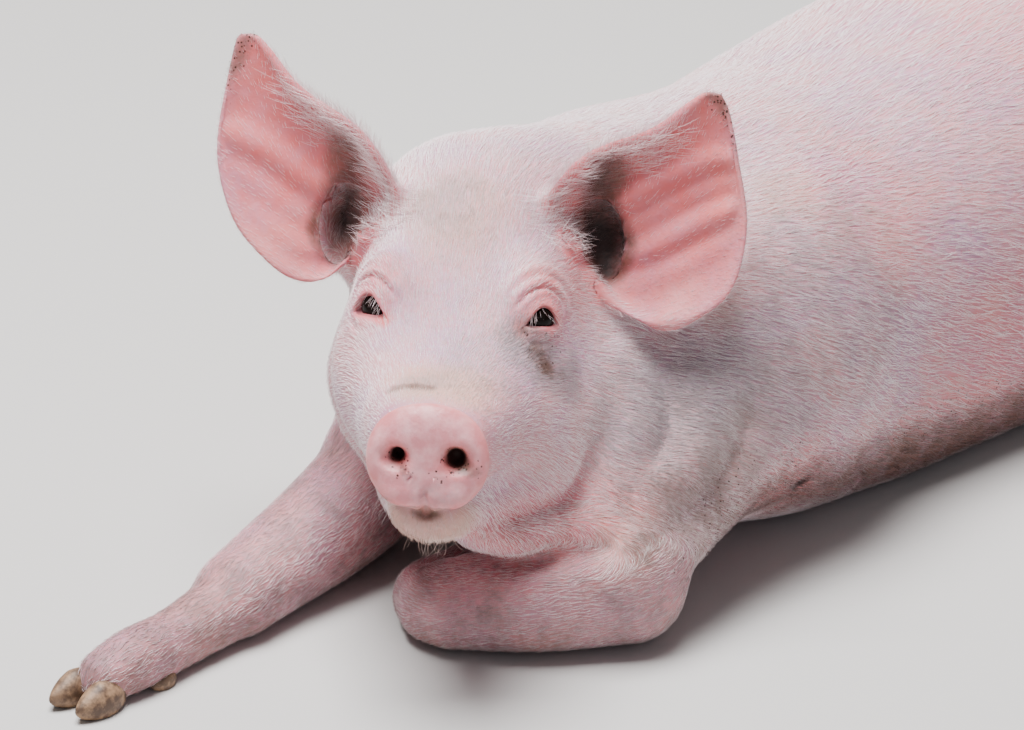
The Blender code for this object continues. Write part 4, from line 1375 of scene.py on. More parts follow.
            # Painted shade along the opening between the lids.
            self.more(Mark.DARK, 0.88 * smooth_step(gap, 0.0017, 0.0) * (eye.nearness(points) < 0.0145))
            self.more(Mark.BLUSH, 0.4 * smooth_step(gap, 0.004, 0.0008) * (eye.nearness(points) < 0.016))
        for mark, values in self.values.items():
            write_layer(mesh, mark.value, values)
        return ears


# ------------------------------------------------------------------------------------- lie of the coat


@dataclass(frozen=True)
class Flow:
    """The way the hair lies round a place.

    Args:
        middle: The place, as left, forward and up.
        reach: How far its influence goes.
        heading: The way the hair points there.
        length: How long the hair is there.
        frame: The frame both are given in.
    """

    middle: Row
    reach: float
    heading: Row
    length: float
    frame: Frame = HEAD

    def pull(self, points: np.ndarray) -> np.ndarray:
        """How strongly it acts at each point."""
        return np.exp(-((np.linalg.norm(points - self.frame.place(self.middle), axis=1) / self.reach) ** 2))

    def way(self) -> np.ndarray:
        """Its heading in the world."""
        return self.frame.place(self.heading) - np.array(self.frame.origin)


def flows() -> list[Flow]:
    """How the hair lies over the body; the ears and legs add their own."""
    found = [
        Flow((0.0, -0.045, 0.033), 0.034, (0.0, -1.0, 0.3), 0.005),
        Flow((0.0, -0.09, 0.05), 0.04, (0.0, -0.85, 0.5), 0.0065),
        Flow((0.0, -0.15, 0.11), 0.045, (0.0, -0.6, 0.8), 0.0085),
        Flow((0.0, -0.2, 0.13), 0.045, (0.0, -1.0, 0.1), 0.011),
        Flow((0.0, -0.03, -0.048), 0.024, (0.0, -0.55, -0.85), 0.008),
    ]
    found += pair(lambda s: [
        Flow((0.03 * s, -0.03, 0.0), 0.022, (0.3 * s, -0.9, -0.2), 0.0045),
        Flow((0.036 * s, -0.06, 0.02), 0.03, (0.35 * s, -0.9, 0.1), 0.0055),
        Flow((0.04 * s, -0.085, 0.045), 0.026, (0.5 * s, -0.7, 0.3), 0.0055),
        Flow((0.034 * s, -0.11, 0.08), 0.026, (0.25 * s, -0.55, 0.75), 0.006),
        Flow((0.062 * s, -0.128, 0.085), 0.022, (0.75 * s, -0.65, 0.1), 0.006),
        Flow((0.066 * s, -0.13, 0.05), 0.024, (0.45 * s, -0.9, -0.15), 0.006),
        Flow((0.06 * s, -0.11, 0.01), 0.034, (0.25 * s, -0.9, -0.35), 0.0075),
        Flow((0.072 * s, -0.15, 0.01), 0.034, (0.05 * s, -0.85, -0.5), 0.009),
        Flow((0.034 * s, -0.06, -0.044), 0.028, (0.1 * s, -0.8, -0.6), 0.008),
        Flow((0.058 * s, -0.12, -0.05), 0.034, (0.2 * s, -0.85, -0.5), 0.01),
        Flow((0.07 * s, -0.18, -0.02), 0.04, (0.2 * s, -0.8, -0.5), 0.012),
        Flow((0.13 * s, 0.36, 0.12), 0.05, (0.3 * s, -0.7, -0.65), 0.013, WORLD),
        Flow((0.12 * s, 0.28, 0.15), 0.07, (0.2 * s, -0.85, -0.5), 0.014, WORLD),
        Flow((0.15 * s, 0.18, 0.11), 0.08, (0.1 * s, -0.85, -0.55), 0.013, WORLD),
        Flow((0.15 * s, 0.0, 0.12), 0.12, (0.05 * s, -0.92, -0.4), 0.013, WORLD),
        Flow((0.14 * s, -0.2, 0.12), 0.12, (0.05 * s, -0.85, -0.5), 0.013, WORLD),
        Flow((0.08 * s, -0.36, 0.16), 0.08, (0.2 * s, -0.6, -0.8), 0.013, WORLD),
    ])
    found += [
        Flow((0.0, 0.26, 0.24), 0.07, (0.0, -1.0, 0.0), 0.015, WORLD),
        Flow((0.0, 0.1, 0.25), 0.12, (0.0, -1.0, 0.0), 0.014, WORLD),
        Flow((0.0, -0.1, 0.26), 0.14, (0.0, -1.0, 0.0), 0.013, WORLD),
        Flow((0.0, -0.3, 0.25), 0.14, (0.0, -1.0, -0.1), 0.013, WORLD),
        Flow((0.0, -0.43, 0.18), 0.06, (0.0, -0.6, -0.8), 0.011, WORLD),
        Flow((0.02, -0.49, 0.14), 0.04, (0.2, -0.2, -0.9), 0.003, WORLD),
    ]
    return found


@dataclass
class Lie:
    """Works out the hair's way, length, lift and density at the points of the skin.

    Args:
        ears: The ears, with hair along them.
        eyes: The eyes, whose lids have hardly any.
        hollows: Nostrils and ear canals, which the coat keeps out of.
    """

    ears: Sequence[EarLeaf]
    eyes: Sequence[EyeSite]
    hollows: Sequence[Form]

    def body(self, points: np.ndarray) -> tuple[np.ndarray, np.ndarray]:
        """The way and the length from the flows."""
        way, length, total = np.zeros((len(points), 3)), np.zeros(len(points)), np.full(len(points), 1e-4)
        way += np.array([0.0, 1.0, -0.2]) * 1e-4
        length += 0.013 * 1e-4
        for flow in flows():
            pull = flow.pull(points)
            way += pull[:, None] * flow.way()
            length += pull * flow.length
            total += pull
        return way / total[:, None], length / total

    def legs(self, points: np.ndarray, way: np.ndarray, length: np.ndarray) -> np.ndarray:
        """Hair on the legs runs down to the feet; returns how far each point belongs to a leg."""
        part = np.zeros(len(points))
        for rows in LIMBS.values():
            limb = Limb(rows, steps=6)
            near = smooth_step(limb.distance(points), 0.016, 0.002)[:, None]
            way += near * (limb.heading(points) * 1.5 - way)
            length += near[:, 0] * (0.0065 - length)
            part = np.maximum(part, near[:, 0])
        return part

    def on_ears(self, points: np.ndarray, way: np.ndarray, length: np.ndarray, lift: np.ndarray,
                grow: np.ndarray) -> None:
        """Fine short hair on the back of an ear, hardly any in front, and a fringe on its rims."""
        for leaf in self.ears:
            near, gap, along, across, front = leaf.beside(points)
            cover = smooth_step(gap, 0.008, 0.003)
            heading = leaf.axis + np.outer((across - 0.45) * 1.6, leaf.out)
            inside = smooth_step(front, -0.0002, 0.001)
            rim = smooth_step(np.minimum(across, 1 - across), 0.085, 0.02)
            fringe = smooth_step(across, 0.2, 0.0) * smooth_step(along, 0.75, 0.3)
            size = (0.0048 + 0.002 * rim * (1 - along) + 0.006 * fringe
                    - 0.0018 * smooth_step(along, 0.8, 0.95))
            density = 2.4e5 * (1.0 - 0.72 * inside + 0.5 * rim + 1.4 * fringe * inside)
            way[near] += cover[:, None] * (heading * 1.2 - way[near])
            length[near] += cover * (size - length[near])
            grow[near] += cover * (density - grow[near])
            lift[near] += cover * (0.12 + 0.22 * rim + 0.25 * fringe - lift[near])

    def write(self, mesh: bpy.types.Mesh, ear: np.ndarray) -> None:
        """Stores way, length, lift, thickness and density as attributes.

        Args:
            mesh: The skin.
            ear: How far each point belongs to an ear.
        """
        points, normals = mesh_points(mesh), mesh_points(mesh, "normal")
        way, length = self.body(points)
        away = np.linalg.norm(points - HEAD.place((0.0, -0.1, 0.02)), axis=1)
        # Hairs per m2.
        grow = 4.6e5 - 2.9e5 * smooth_step(away, 0.12, 0.3) - 1.1e5 * smooth_step(away, 0.4, 0.75)
        thick = 0.00023 + 0.00008 * smooth_step(away, 0.12, 0.3) + 0.00014 * smooth_step(away, 0.4, 0.8)
        lift = np.full(len(points), 0.1)
        leg = self.legs(points, way, length)
        left, forward, up = HEAD.local(points).T
        chin = np.exp(-((np.linalg.norm(HEAD.local(points) - (0.0, -0.03, -0.05), axis=1) / 0.022) ** 2))
        lift += 0.3 * chin
        lift -= 0.06 * leg
        self.on_ears(points, way, length, lift, grow)
        bare = smooth_step(np.sqrt((left / 0.0385) ** 2 + (up / 0.0335) ** 2), 1.1, 1.0)
        grow *= 1.0 - bare * smooth_step(forward, -0.017, -0.012)
        ring = smooth_step(np.sqrt((left / 0.0385) ** 2 + (up / 0.0335) ** 2), 1.6, 1.15)
        ring *= smooth_step(forward, -0.034, -0.016)
        grow *= 1.0 - 0.75 * ring
        length *= 1.0 - 0.35 * ring
        for form in self.hollows:
            near = np.flatnonzero(np.linalg.norm(points - form.centre, axis=1) < form.reach + 0.03)
            grow[near] *= smooth_step(form.distance(points[near]), -0.001, 0.003)
        for path in (EAR_FOLD, mirrored(EAR_FOLD)):
            gap, _ = beside_line(path, HEAD, points)
            grow *= 1.0 - 0.7 * smooth_step(gap, 0.014, 0.006)
        for eye in self.eyes:
            gap = np.where(eye.nearness(points) < 0.02, eye.opening(points), 0.02)
            grow *= smooth_step(gap, 0.0006, 0.003)
            length *= 0.55 + 0.45 * smooth_step(eye.nearness(points), 0.014, 0.026)
        grow *= smooth_step(points[:, 2], 0.0015, 0.006)
        way -= normals * (way * normals).sum(1)[:, None]
        way /= np.maximum(np.linalg.norm(way, axis=1), 1e-6)[:, None]
        layers = {"lie": way, "hair": length, "lift": lift, "grow": grow, "thick": thick, "ear": ear,
                  "leg": leg}
        for name, values in layers.items():
            write_layer(mesh, name, values)


# ------------------------------------------------------------------------------------- finishes


def linear(hex_colour: str) -> tuple[float, float, float, float]:
    """A screen colour such as "#d8a0a0" as the linear values a shader takes."""
    found = []
    for i in (1, 3, 5):
        value = int(hex_colour[i : i + 2], 16) / 255
        found.append(value / 12.92 if value <= 0.04045 else ((value + 0.055) / 1.055) ** 2.4)
    return (*found, 1.0)


def add_node(owner: bpy.types.Material | bpy.types.NodeTree, kind: str, **settings: object) -> bpy.types.Node:
    """A new node, with attributes set by name and sockets set by "in_<number>" or linked from a socket."""
    tree = owner.node_tree if isinstance(owner, bpy.types.Material) else owner
    node = tree.nodes.new(kind)
    for name, value in settings.items():
        if not name.startswith("in_"):
            setattr(node, name, value)
    for name, value in settings.items():
        if name.startswith("in_"):
            socket = node.inputs[int(name[3:])]
            if isinstance(value, bpy.types.NodeSocket):
                tree.links.new(value, socket)
            else:
                socket.default_value = value
    return node


def channel(material: bpy.types.Material, mark: Mark) -> bpy.types.NodeSocket:
    """The socket that carries a marking's strength."""
    return add_node(material, "ShaderNodeAttribute", attribute_name=mark.value).outputs["Fac"]


def noise(material: bpy.types.Material, size: float, detail: float = 3.0,
          rough: float = 0.55) -> bpy.types.NodeSocket:
    """Noise between 0 and 1 whose lumps are about this large in metres."""
    place = add_node(material, "ShaderNodeTexCoord").outputs["Object"]
    return add_node(material, "ShaderNodeTexNoise", in_0=place, in_2=1.0 / size, in_3=detail,
                    in_4=rough).outputs[0]


def ramp(material: bpy.types.Material, value: bpy.types.NodeSocket, low: float, high: float,
         to_low: float = 0.0, to_high: float = 1.0) -> bpy.types.NodeSocket:
    """A value spread from one range over another, and kept inside it."""
    node = add_node(material, "ShaderNodeMapRange", in_0=value, in_1=low, in_2=high, in_3=to_low,
                    in_4=to_high)
    return node.outputs[0]


def times(material: bpy.types.Material, first: object, second: object) -> bpy.types.NodeSocket:
    """The product of two values, kept between 0 and 1."""
    node = add_node(material, "ShaderNodeMath", operation="MULTIPLY", in_0=first, in_1=second, use_clamp=True)
    return node.outputs[0]


def plus(material: bpy.types.Material, first: object, second: object) -> bpy.types.NodeSocket:
    """The sum of two values."""
    return add_node(material, "ShaderNodeMath", operation="ADD", in_0=first, in_1=second).outputs[0]


def blend_colour(material: bpy.types.Material, share: object, first: object,
                 second: object) -> bpy.types.NodeSocket:
    """One colour laid over another."""
    node = add_node(material, "ShaderNodeMix", data_type="RGBA", in_0=share, in_6=first, in_7=second)
    return node.outputs[2]


def new_material(name: str) -> tuple[bpy.types.Material, bpy.types.Node]:
    """An empty material and its Principled shader."""
    material = bpy.data.materials.new(name)
    material.use_nodes = True
    return material, material.node_tree.nodes["Principled BSDF"]


@dataclass(frozen=True)
class DirtAndShade:
    """The dirt and stains that lie on skin and hair alike, and the painted shade of hollows, creases and
    gaps, in sRGB.
    """

    stain: str = "#cda38e"  # old urine and straw stain on pale bristle
    dust_and_shade: str = "#8d8283"  # dry grey dust, also painted shade on the neck, the shoulders, the middle of the face and the legs
    mud: str = "#6b4d40"  # dried farmyard mud, also painted shade under the disc, round the ear canals, along the throat and on the legs
    crumb: str = "#442a21"  # crumbs of dung and earth
    hollow: str = "#1d1210"  # shade of a deep hollow

    def over(self, material: bpy.types.Material, colour: bpy.types.NodeSocket,
             patchy: float) -> bpy.types.NodeSocket:
        """Lays the stains over a colour.

        Args:
            material: The material they are part of.
            colour: The clean colour.
            patchy: How broken the layers are, 0 for even and 1 for very.

        Returns:
            The soiled colour, with its painted shade.
        """
        broad = noise(material, 0.02, 4.0, 0.62)
        fine = noise(material, 0.0042, 4.0, 0.68)
        broken = plus(material, times(material, broad, 0.55), times(material, fine, 0.45))
        low = 0.5 - 0.06 * patchy
        for mark, paint, cut, most in (
            (Mark.BEIGE, self.stain, 0.36, 0.7), (Mark.GREY, self.dust_and_shade, 0.46, 0.72),
            (Mark.MUD, self.mud, 0.5, 0.88),
        ):
            strength = channel(material, mark)
            shift = ramp(material, strength, 0.0, 1.0, -cut, 0.42)
            share = ramp(material, plus(material, broken, shift), low - 0.2, low + 0.3, 0.0, most)
            share = times(material, share, ramp(material, strength, 0.0, 0.22))
            colour = blend_colour(material, share, colour, linear(paint))
        place = add_node(material, "ShaderNodeTexCoord").outputs["Object"]
        # Crumbs 1 to 2 mm apart at least.
        crumbs = add_node(material, "ShaderNodeTexVoronoi", in_0=place, in_2=600.0)
        dot = ramp(material, crumbs.outputs["Distance"], 0.48, 0.3)
        lot = add_node(material, "ShaderNodeSeparateColor", in_0=crumbs.outputs["Color"]).outputs[0]
        lot = plus(material, lot, ramp(material, channel(material, Mark.SPECK), 0.0, 1.0, -0.6, 0.0))
        speck = times(material, dot, ramp(material, lot, 0.56, 0.66))
        colour = blend_colour(material, speck, colour, linear(self.crumb))
        # Painted shade of hollows, creases and gaps: near-black brown where that marking is strong.
        return blend_colour(material, ramp(material, channel(material, Mark.DARK), 0.0, 1.0, 0.0, 0.94),
                            colour, linear(self.hollow))


@dataclass(frozen=True)
class PigSkin:
    """Thin skin of a white pig: pink with a lilac cast, redder where it is bare, wet on the disc with a
    painted highlight for its sheen, under dirt and painted shade.
    """

    pale: str = "#d39ca3"
    lilac: str = "#bd93ab"
    blood: str = "#d9625f"
    flesh: str = "#dc8c93"
    dirt_and_shade: DirtAndShade = DirtAndShade()

    def make(self) -> bpy.types.Material:
        """The material."""
        material, shader = new_material("pig skin")
        colour = blend_colour(material, ramp(material, noise(material, 0.045), 0.4, 0.62), linear(self.pale),
                              linear(self.lilac))
        mottle = ramp(material, noise(material, 0.0035, 5.0), 0.42, 0.7, 0.0, 0.3)
        colour = blend_colour(material, mottle, colour, linear(self.blood))
        moist = channel(material, Mark.MOIST)
        # Paler patches on the wet disc: painted highlight for its sheen.
        wet = blend_colour(material, ramp(material, noise(material, 0.01, 4.0), 0.4, 0.68),
                           linear(self.flesh), linear("#edb0b6"))
        colour = blend_colour(material, moist, colour, wet)
        blush = times(material, channel(material, Mark.BLUSH),
                      ramp(material, noise(material, 0.012), 0.3, 0.65, 0.7, 1.0))
        colour = blend_colour(material, blush, colour, linear(self.blood))
        # Dirt, crumbs and the painted shade of hollows and gaps.
        colour = self.dirt_and_shade.over(material, colour, 1.0)
        material.node_tree.links.new(colour, shader.inputs["Base Color"])
        shader.inputs["Subsurface Weight"].default_value = 0.22
        shader.inputs["Subsurface Radius"].default_value = (1.0, 0.35, 0.22)
        shader.inputs["Subsurface Scale"].default_value = 0.004
        shader.inputs["Specular IOR Level"].default_value = 0.38
        rough = ramp(material, moist, 0.0, 1.0, 0.62, 0.36)
        material.node_tree.links.new(rough, shader.inputs["Roughness"])
        pores = noise(material, 0.0016, 3.0, 0.6)  # pores are half this size, drawn coarser to be seen
        creased = add_node(material, "ShaderNodeBump", in_0=0.3, in_1=0.0006, in_3=pores)
        crinkle = noise(material, 0.0075, 4.0, 0.6)
        bump = add_node(material, "ShaderNodeBump", in_0=0.35, in_1=0.0016, in_3=crinkle,
                        in_4=creased.outputs[0])
        material.node_tree.links.new(bump.outputs[0], shader.inputs["Normal"])
        return material


@dataclass(frozen=True)
class Bristle:
    """White pig bristle, slightly yellow and a little shiny, each hair of its own tone."""

    white: str = "#f6ebef"
    cream: str = "#dcc6c2"
    dirt_and_shade: DirtAndShade = DirtAndShade()

    def make(self) -> bpy.types.Material:
        """The material."""
        material, shader = new_material("bristle")
        tone = add_node(material, "ShaderNodeAttribute", attribute_name="tone").outputs["Fac"]
        colour = blend_colour(material, ramp(material, tone, 0.45, 1.0), linear(self.white),
                              linear(self.cream))
        colour = blend_colour(material, ramp(material, channel(material, Mark.BLUSH), 0.0, 1.0, 0.0, 0.34),
                              colour, linear("#e6a9a9"))
        # The same dirt and painted shade as the skin, less broken up.
        colour = self.dirt_and_shade.over(material, colour, 0.6)
        material.node_tree.links.new(colour, shader.inputs["Base Color"])
        shader.inputs["Roughness"].default_value = 0.42
        shader.inputs["Specular IOR Level"].default_value = 0.45
        return material


@dataclass(frozen=True)
class WetEye:
    """A dark brown eye under clear tears."""

    brown: str = "#120b08"

    def make(self) -> bpy.types.Material:
        """The material."""
        material, shader = new_material("wet eye")
        shader.inputs["Base Color"].default_value = linear(self.brown)
        shader.inputs["Roughness"].default_value = 0.14
        shader.inputs["Specular IOR Level"].default_value = 0.1
        return material


@dataclass(frozen=True)
class Horn:
    """Claw horn, amber brown with growth rings and dried mud."""

    amber: str = "#9c7b5e"
    brown: str = "#5c4434"

    def make(self) -> bpy.types.Material:
        """The material."""
        material, shader = new_material("claw horn")
        colour = blend_colour(material, ramp(material, noise(material, 0.006, 4.0), 0.35, 0.65),
                              linear(self.amber), linear(self.brown))
        colour = blend_colour(material,
                              ramp(material, noise(material, 0.012, 4.0, 0.7), 0.46, 0.6, 0.0, 0.75),
                              colour, linear("#4f3a2c"))
        material.node_tree.links.new(colour, shader.inputs["Base Color"])
        shader.inputs["Roughness"].default_value = 0.55
        bump = add_node(material, "ShaderNodeBump", in_0=0.4, in_1=0.0006, in_3=noise(material, 0.002))
        material.node_tree.links.new(bump.outputs[0], shader.inputs["Normal"])
        return material


# ------------------------------------------------------------------------------------- bristles


@dataclass(frozen=True)
class Cut:
    """A kind of hair.

    Args:
        thicker: A factor on the hair's width.
        longer: A factor on the hair's length.
        stray: How far its way wanders from the lie.
        clump: How much neighbouring hairs lean together.
        free: 1 for hair that stands as it is told, 0 for hair that is laid along the skin.
        bow: How far it bends away from a straight line, in widths.
        segments: How many straight lengths it has.
    """

    thicker: float = 1.0
    longer: float = 1.0
    stray: float = 0.2
    clump: float = 0.45
    free: float = 0.0
    bow: float = 1.6
    segments: int = 2


def bristle_template(cut: Cut, sides: int = 3) -> bpy.types.Object:
    """A closed tapering hair along +Y, one long and one wide, with its own patch of the map.

    Args:
        cut: The kind of hair, for its bend and its number of segments.
        sides: How many sides it has.

    Returns:
        The hair as an object.
    """
    segments = cut.segments
    bm = bmesh.new()
    rings = []
    for i in range(segments):
        t = i / segments
        radius = 0.5 * (1.0 - 0.45 * t)
        rings.append([
            bm.verts.new((
                radius * math.cos(math.tau * j / sides), t,
                radius * math.sin(math.tau * j / sides) + cut.bow * 4.0 * t * (1.0 - t),
            ))
            for j in range(sides)
        ])
    tip = bm.verts.new((0.0, 1.0, 0.0))
    for low, high in zip(rings, rings[1:]):
        for j in range(sides):
            bm.faces.new((low[j], high[j], high[(j + 1) % sides], low[(j + 1) % sides]))
    for j in range(sides):
        bm.faces.new((rings[-1][j], tip, rings[-1][(j + 1) % sides]))
    bm.faces.new(rings[0])
    bmesh.ops.recalc_face_normals(bm, faces=bm.faces)
    mesh = from_bmesh("bristle", bm)
    places = np.array([mesh.vertices[loop.vertex_index].co[:] for loop in mesh.loops])
    patch = np.stack([places[:, 0] * 0.5, places[:, 1] - 0.5, places[:, 2] * 0.0], 1)
    write_layer(mesh, "patch", patch, "CORNER")
    return put("bristle", mesh)


class BristleTree:
    """The node group that stands bristles on a patch of skin."""

    PATCH = 0.003  # the side of each bristle's patch on the map

    def __init__(self, template: bpy.types.Object) -> None:
        """Builds the group round a template bristle."""
        self.tree = bpy.data.node_groups.new("bristles", "GeometryNodeTree")
        face = self.tree.interface
        face.new_socket("Geometry", in_out="INPUT", socket_type="NodeSocketGeometry")
        self.sockets = {
            name: face.new_socket(name, in_out="INPUT", socket_type=kind).identifier
            for name, kind in (
                ("Density", "NodeSocketFloat"), ("Seed", "NodeSocketInt"), ("Thicker", "NodeSocketFloat"),
                ("Longer", "NodeSocketFloat"), ("Stray", "NodeSocketFloat"), ("Clump", "NodeSocketFloat"),
                ("Free", "NodeSocketFloat"), ("Material", "NodeSocketMaterial"),
            )
        }
        face.new_socket("Geometry", in_out="OUTPUT", socket_type="NodeSocketGeometry")
        self.inputs = self.tree.nodes.new("NodeGroupInput")
        self.build(template)

    def node(self, kind: str, **settings: object) -> bpy.types.Node:
        """A new node of the group."""
        return add_node(self.tree, kind, **settings)

    def named(self, name: str, kind: str) -> bpy.types.NodeSocket:
        """A stored attribute."""
        return self.node("GeometryNodeInputNamedAttribute", data_type=kind, in_0=name).outputs[0]

    def maths(self, operation: str, first: object, second: object = 0.0) -> bpy.types.NodeSocket:
        """One number from two."""
        return self.node("ShaderNodeMath", operation=operation, in_0=first, in_1=second).outputs[0]

    def vector(self, operation: str, first: object, second: object = (0.0, 0.0, 0.0)) -> bpy.types.NodeSocket:
        """One vector from two."""
        return self.node("ShaderNodeVectorMath", operation=operation, in_0=first, in_1=second).outputs[0]

    def scaled(self, vector: bpy.types.NodeSocket, by: object) -> bpy.types.NodeSocket:
        """A vector made longer."""
        return self.node("ShaderNodeVectorMath", operation="SCALE", in_0=vector, in_3=by).outputs[0]

    def build(self, template: bpy.types.Object) -> None:
        """Wires the group."""
        take = self.inputs.outputs
        density = self.maths("MULTIPLY", self.named("grow", "FLOAT"), take["Density"])
        scatter = self.node(
            "GeometryNodeDistributePointsOnFaces", in_0=take["Geometry"], in_4=density, in_6=take["Seed"]
        )
        normal = scatter.outputs["Normal"]
        wander = self.node("FunctionNodeRandomValue", data_type="FLOAT_VECTOR", in_0=(-1.0, -1.0, -1.0),
                           in_1=(1.0, 1.0, 1.0), in_8=take["Seed"])
        place = self.node("GeometryNodeInputPosition").outputs[0]
        lean = self.node("ShaderNodeTexNoise", in_0=place, in_2=90.0, in_3=1.0)
        lean = self.vector("SUBTRACT", lean.outputs["Color"], (0.5, 0.5, 0.5))
        way = self.vector("ADD", self.named("lie", "FLOAT_VECTOR"),
                          self.scaled(wander.outputs[0], take["Stray"]))
        way = self.vector("ADD", way, self.scaled(lean, self.maths("MULTIPLY", take["Clump"], 2.0)))
        out = self.node("ShaderNodeVectorMath", operation="DOT_PRODUCT", in_0=way, in_1=normal).outputs[1]
        out = self.maths("MULTIPLY", out, self.maths("SUBTRACT", 1.0, take["Free"]))
        way = self.vector("NORMALIZE", self.vector("SUBTRACT", way, self.scaled(normal, out)))
        rise = self.node("FunctionNodeRandomValue", data_type="FLOAT", in_2=0.4, in_3=1.5, in_8=7).outputs[1]
        rise = self.maths("MULTIPLY", rise, self.named("lift", "FLOAT"))
        way = self.vector("NORMALIZE", self.vector("ADD", way, self.scaled(normal, rise)))
        turn = self.node("FunctionNodeAxesToRotation", primary_axis="Y", secondary_axis="Z", in_0=way,
                         in_1=normal)
        size = self.node("FunctionNodeRandomValue", data_type="FLOAT", in_2=0.6, in_3=1.15,
                         in_8=11).outputs[1]
        length = self.maths("MULTIPLY", self.maths("MULTIPLY", size, self.named("hair", "FLOAT")),
                            take["Longer"])
        width = self.maths("MULTIPLY", self.named("thick", "FLOAT"), take["Thicker"])
        scale = self.node("ShaderNodeCombineXYZ", in_0=width, in_1=length, in_2=width)
        tone = self.node("FunctionNodeRandomValue", data_type="FLOAT", in_2=0.0, in_3=1.0, in_8=3).outputs[1]
        toned = self.node("GeometryNodeStoreNamedAttribute", data_type="FLOAT", domain="POINT",
                          in_0=scatter.outputs["Points"], in_2="tone", in_3=tone)
        shape = self.node("GeometryNodeObjectInfo", in_0=template).outputs["Geometry"]
        stood = self.node("GeometryNodeInstanceOnPoints", in_0=toned.outputs[0], in_2=shape,
                          in_5=turn.outputs[0], in_6=scale.outputs[0])
        solid = self.node("GeometryNodeRealizeInstances", in_0=stood.outputs[0])
        dry = self.above_floor(solid.outputs[0])
        mapped = self.vector("ADD", self.named("root_map", "FLOAT_VECTOR"),
                             self.scaled(self.named("patch", "FLOAT_VECTOR"), self.PATCH))
        stored = self.node("GeometryNodeStoreNamedAttribute", data_type="FLOAT2", domain="CORNER", in_0=dry,
                           in_2="OFBake", in_3=mapped)
        painted = self.node("GeometryNodeSetMaterial", in_0=stored.outputs[0], in_2=take["Material"])
        output = self.tree.nodes.new("NodeGroupOutput")
        self.tree.links.new(painted.outputs[0], output.inputs[0])

    def above_floor(self, geometry: bpy.types.NodeSocket) -> bpy.types.NodeSocket:
        """Keeps every hair above the floor."""
        position = self.node("GeometryNodeInputPosition").outputs[0]
        x, y, z = self.node("ShaderNodeSeparateXYZ", in_0=position).outputs
        place = self.node("ShaderNodeCombineXYZ", in_0=x, in_1=y, in_2=self.maths("MAXIMUM", z, 0.0004))
        return self.node("GeometryNodeSetPosition", in_0=geometry, in_2=place.outputs[0]).outputs[0]

    def stand(self, ground: bpy.types.Object, name: str, values: dict[str, object]) -> bpy.types.Object:
        """Grows bristles on a patch of skin and returns them as a plain object.

        Args:
            ground: The patch of skin.
            name: The new object's name.
            values: What the group's inputs are set to, by name.

        Returns:
            The bristles.
        """
        step = ground.modifiers.new("bristles", "NODES")
        step.node_group = self.tree
        for key, value in values.items():
            step[self.sockets[key]] = value
        ground.update_tag()
        bpy.context.view_layer.update()
        mesh = bpy.data.meshes.new_from_object(ground.evaluated_get(bpy.context.evaluated_depsgraph_get()))
        ground.modifiers.clear()
        mesh.name = name
        return put(name, mesh)


# ------------------------------------------------------------------------------------- coat


@dataclass
class Where:
    """The middles of the skin's faces in every way the coat asks about them."""

    middle: np.ndarray
    ear: np.ndarray
    leg: np.ndarray

    def __post_init__(self) -> None:
        """Splits the places into single columns."""
        self.left, self.forward, self.up = HEAD.local(self.middle).T
        self.x, self.y, _ = self.middle.T

    def on_face(self) -> np.ndarray:
        """Which faces are on the front of the head."""
        return ((self.forward > -0.205) & (np.abs(self.left) < 0.105) & (np.abs(self.up - 0.02) < 0.14)
                & (self.y < -0.2))

    def near(self, place: np.ndarray, reach: float) -> np.ndarray:
        """Which faces are within reach of a place."""
        return np.linalg.norm(self.middle - place, axis=1) < reach


@dataclass(frozen=True)
class Stand:
    """A piece of the coat: the bristles of one part of the body.

    Args:
        name: The piece's name.
        holds: Says which of the skin's faces are its own.
        cut: The kind of hair.
    """

    name: str
    holds: Callable[[Where], np.ndarray]
    cut: Cut = Cut()


def stands() -> list[Stand]:
    """The pieces of the coat; a face belongs to the first that holds it."""
    return [
        Stand("ear_fuzz_left", lambda w: (w.ear > 0.5) & (w.x > 0.02), Cut(0.75, 0.9, 0.2, 0.25)),
        Stand("ear_fuzz_right", lambda w: (w.ear > 0.5) & (w.x <= 0.02), Cut(0.75, 0.9, 0.2, 0.25)),
        Stand("leg_hair_fore", lambda w: (w.leg > 0.5) & (w.y < 0.0)),
        Stand("leg_hair_hind", lambda w: (w.leg > 0.5) & (w.y >= 0.0)),
        Stand("face_hair_left", lambda w: w.on_face() & (w.left >= 0.0),
              Cut(longer=0.95, stray=0.17, clump=0.45)),
        Stand("face_hair_right", lambda w: w.on_face(), Cut(longer=0.95, stray=0.17, clump=0.45)),
        Stand("neck_hair_left", lambda w: (w.y < -0.215) & (w.x > 0.03), Cut(longer=0.85)),
        Stand("neck_hair_right", lambda w: w.y < -0.215, Cut(longer=0.85)),
        Stand("shoulder_hair_left", lambda w: (w.y < -0.06) & (w.x > 0.02)),
        Stand("shoulder_hair_right", lambda w: w.y < -0.06),
        Stand("flank_hair", lambda w: w.y < 0.16),
        Stand("rump_hair", lambda w: w.y > -9.0),
    ]


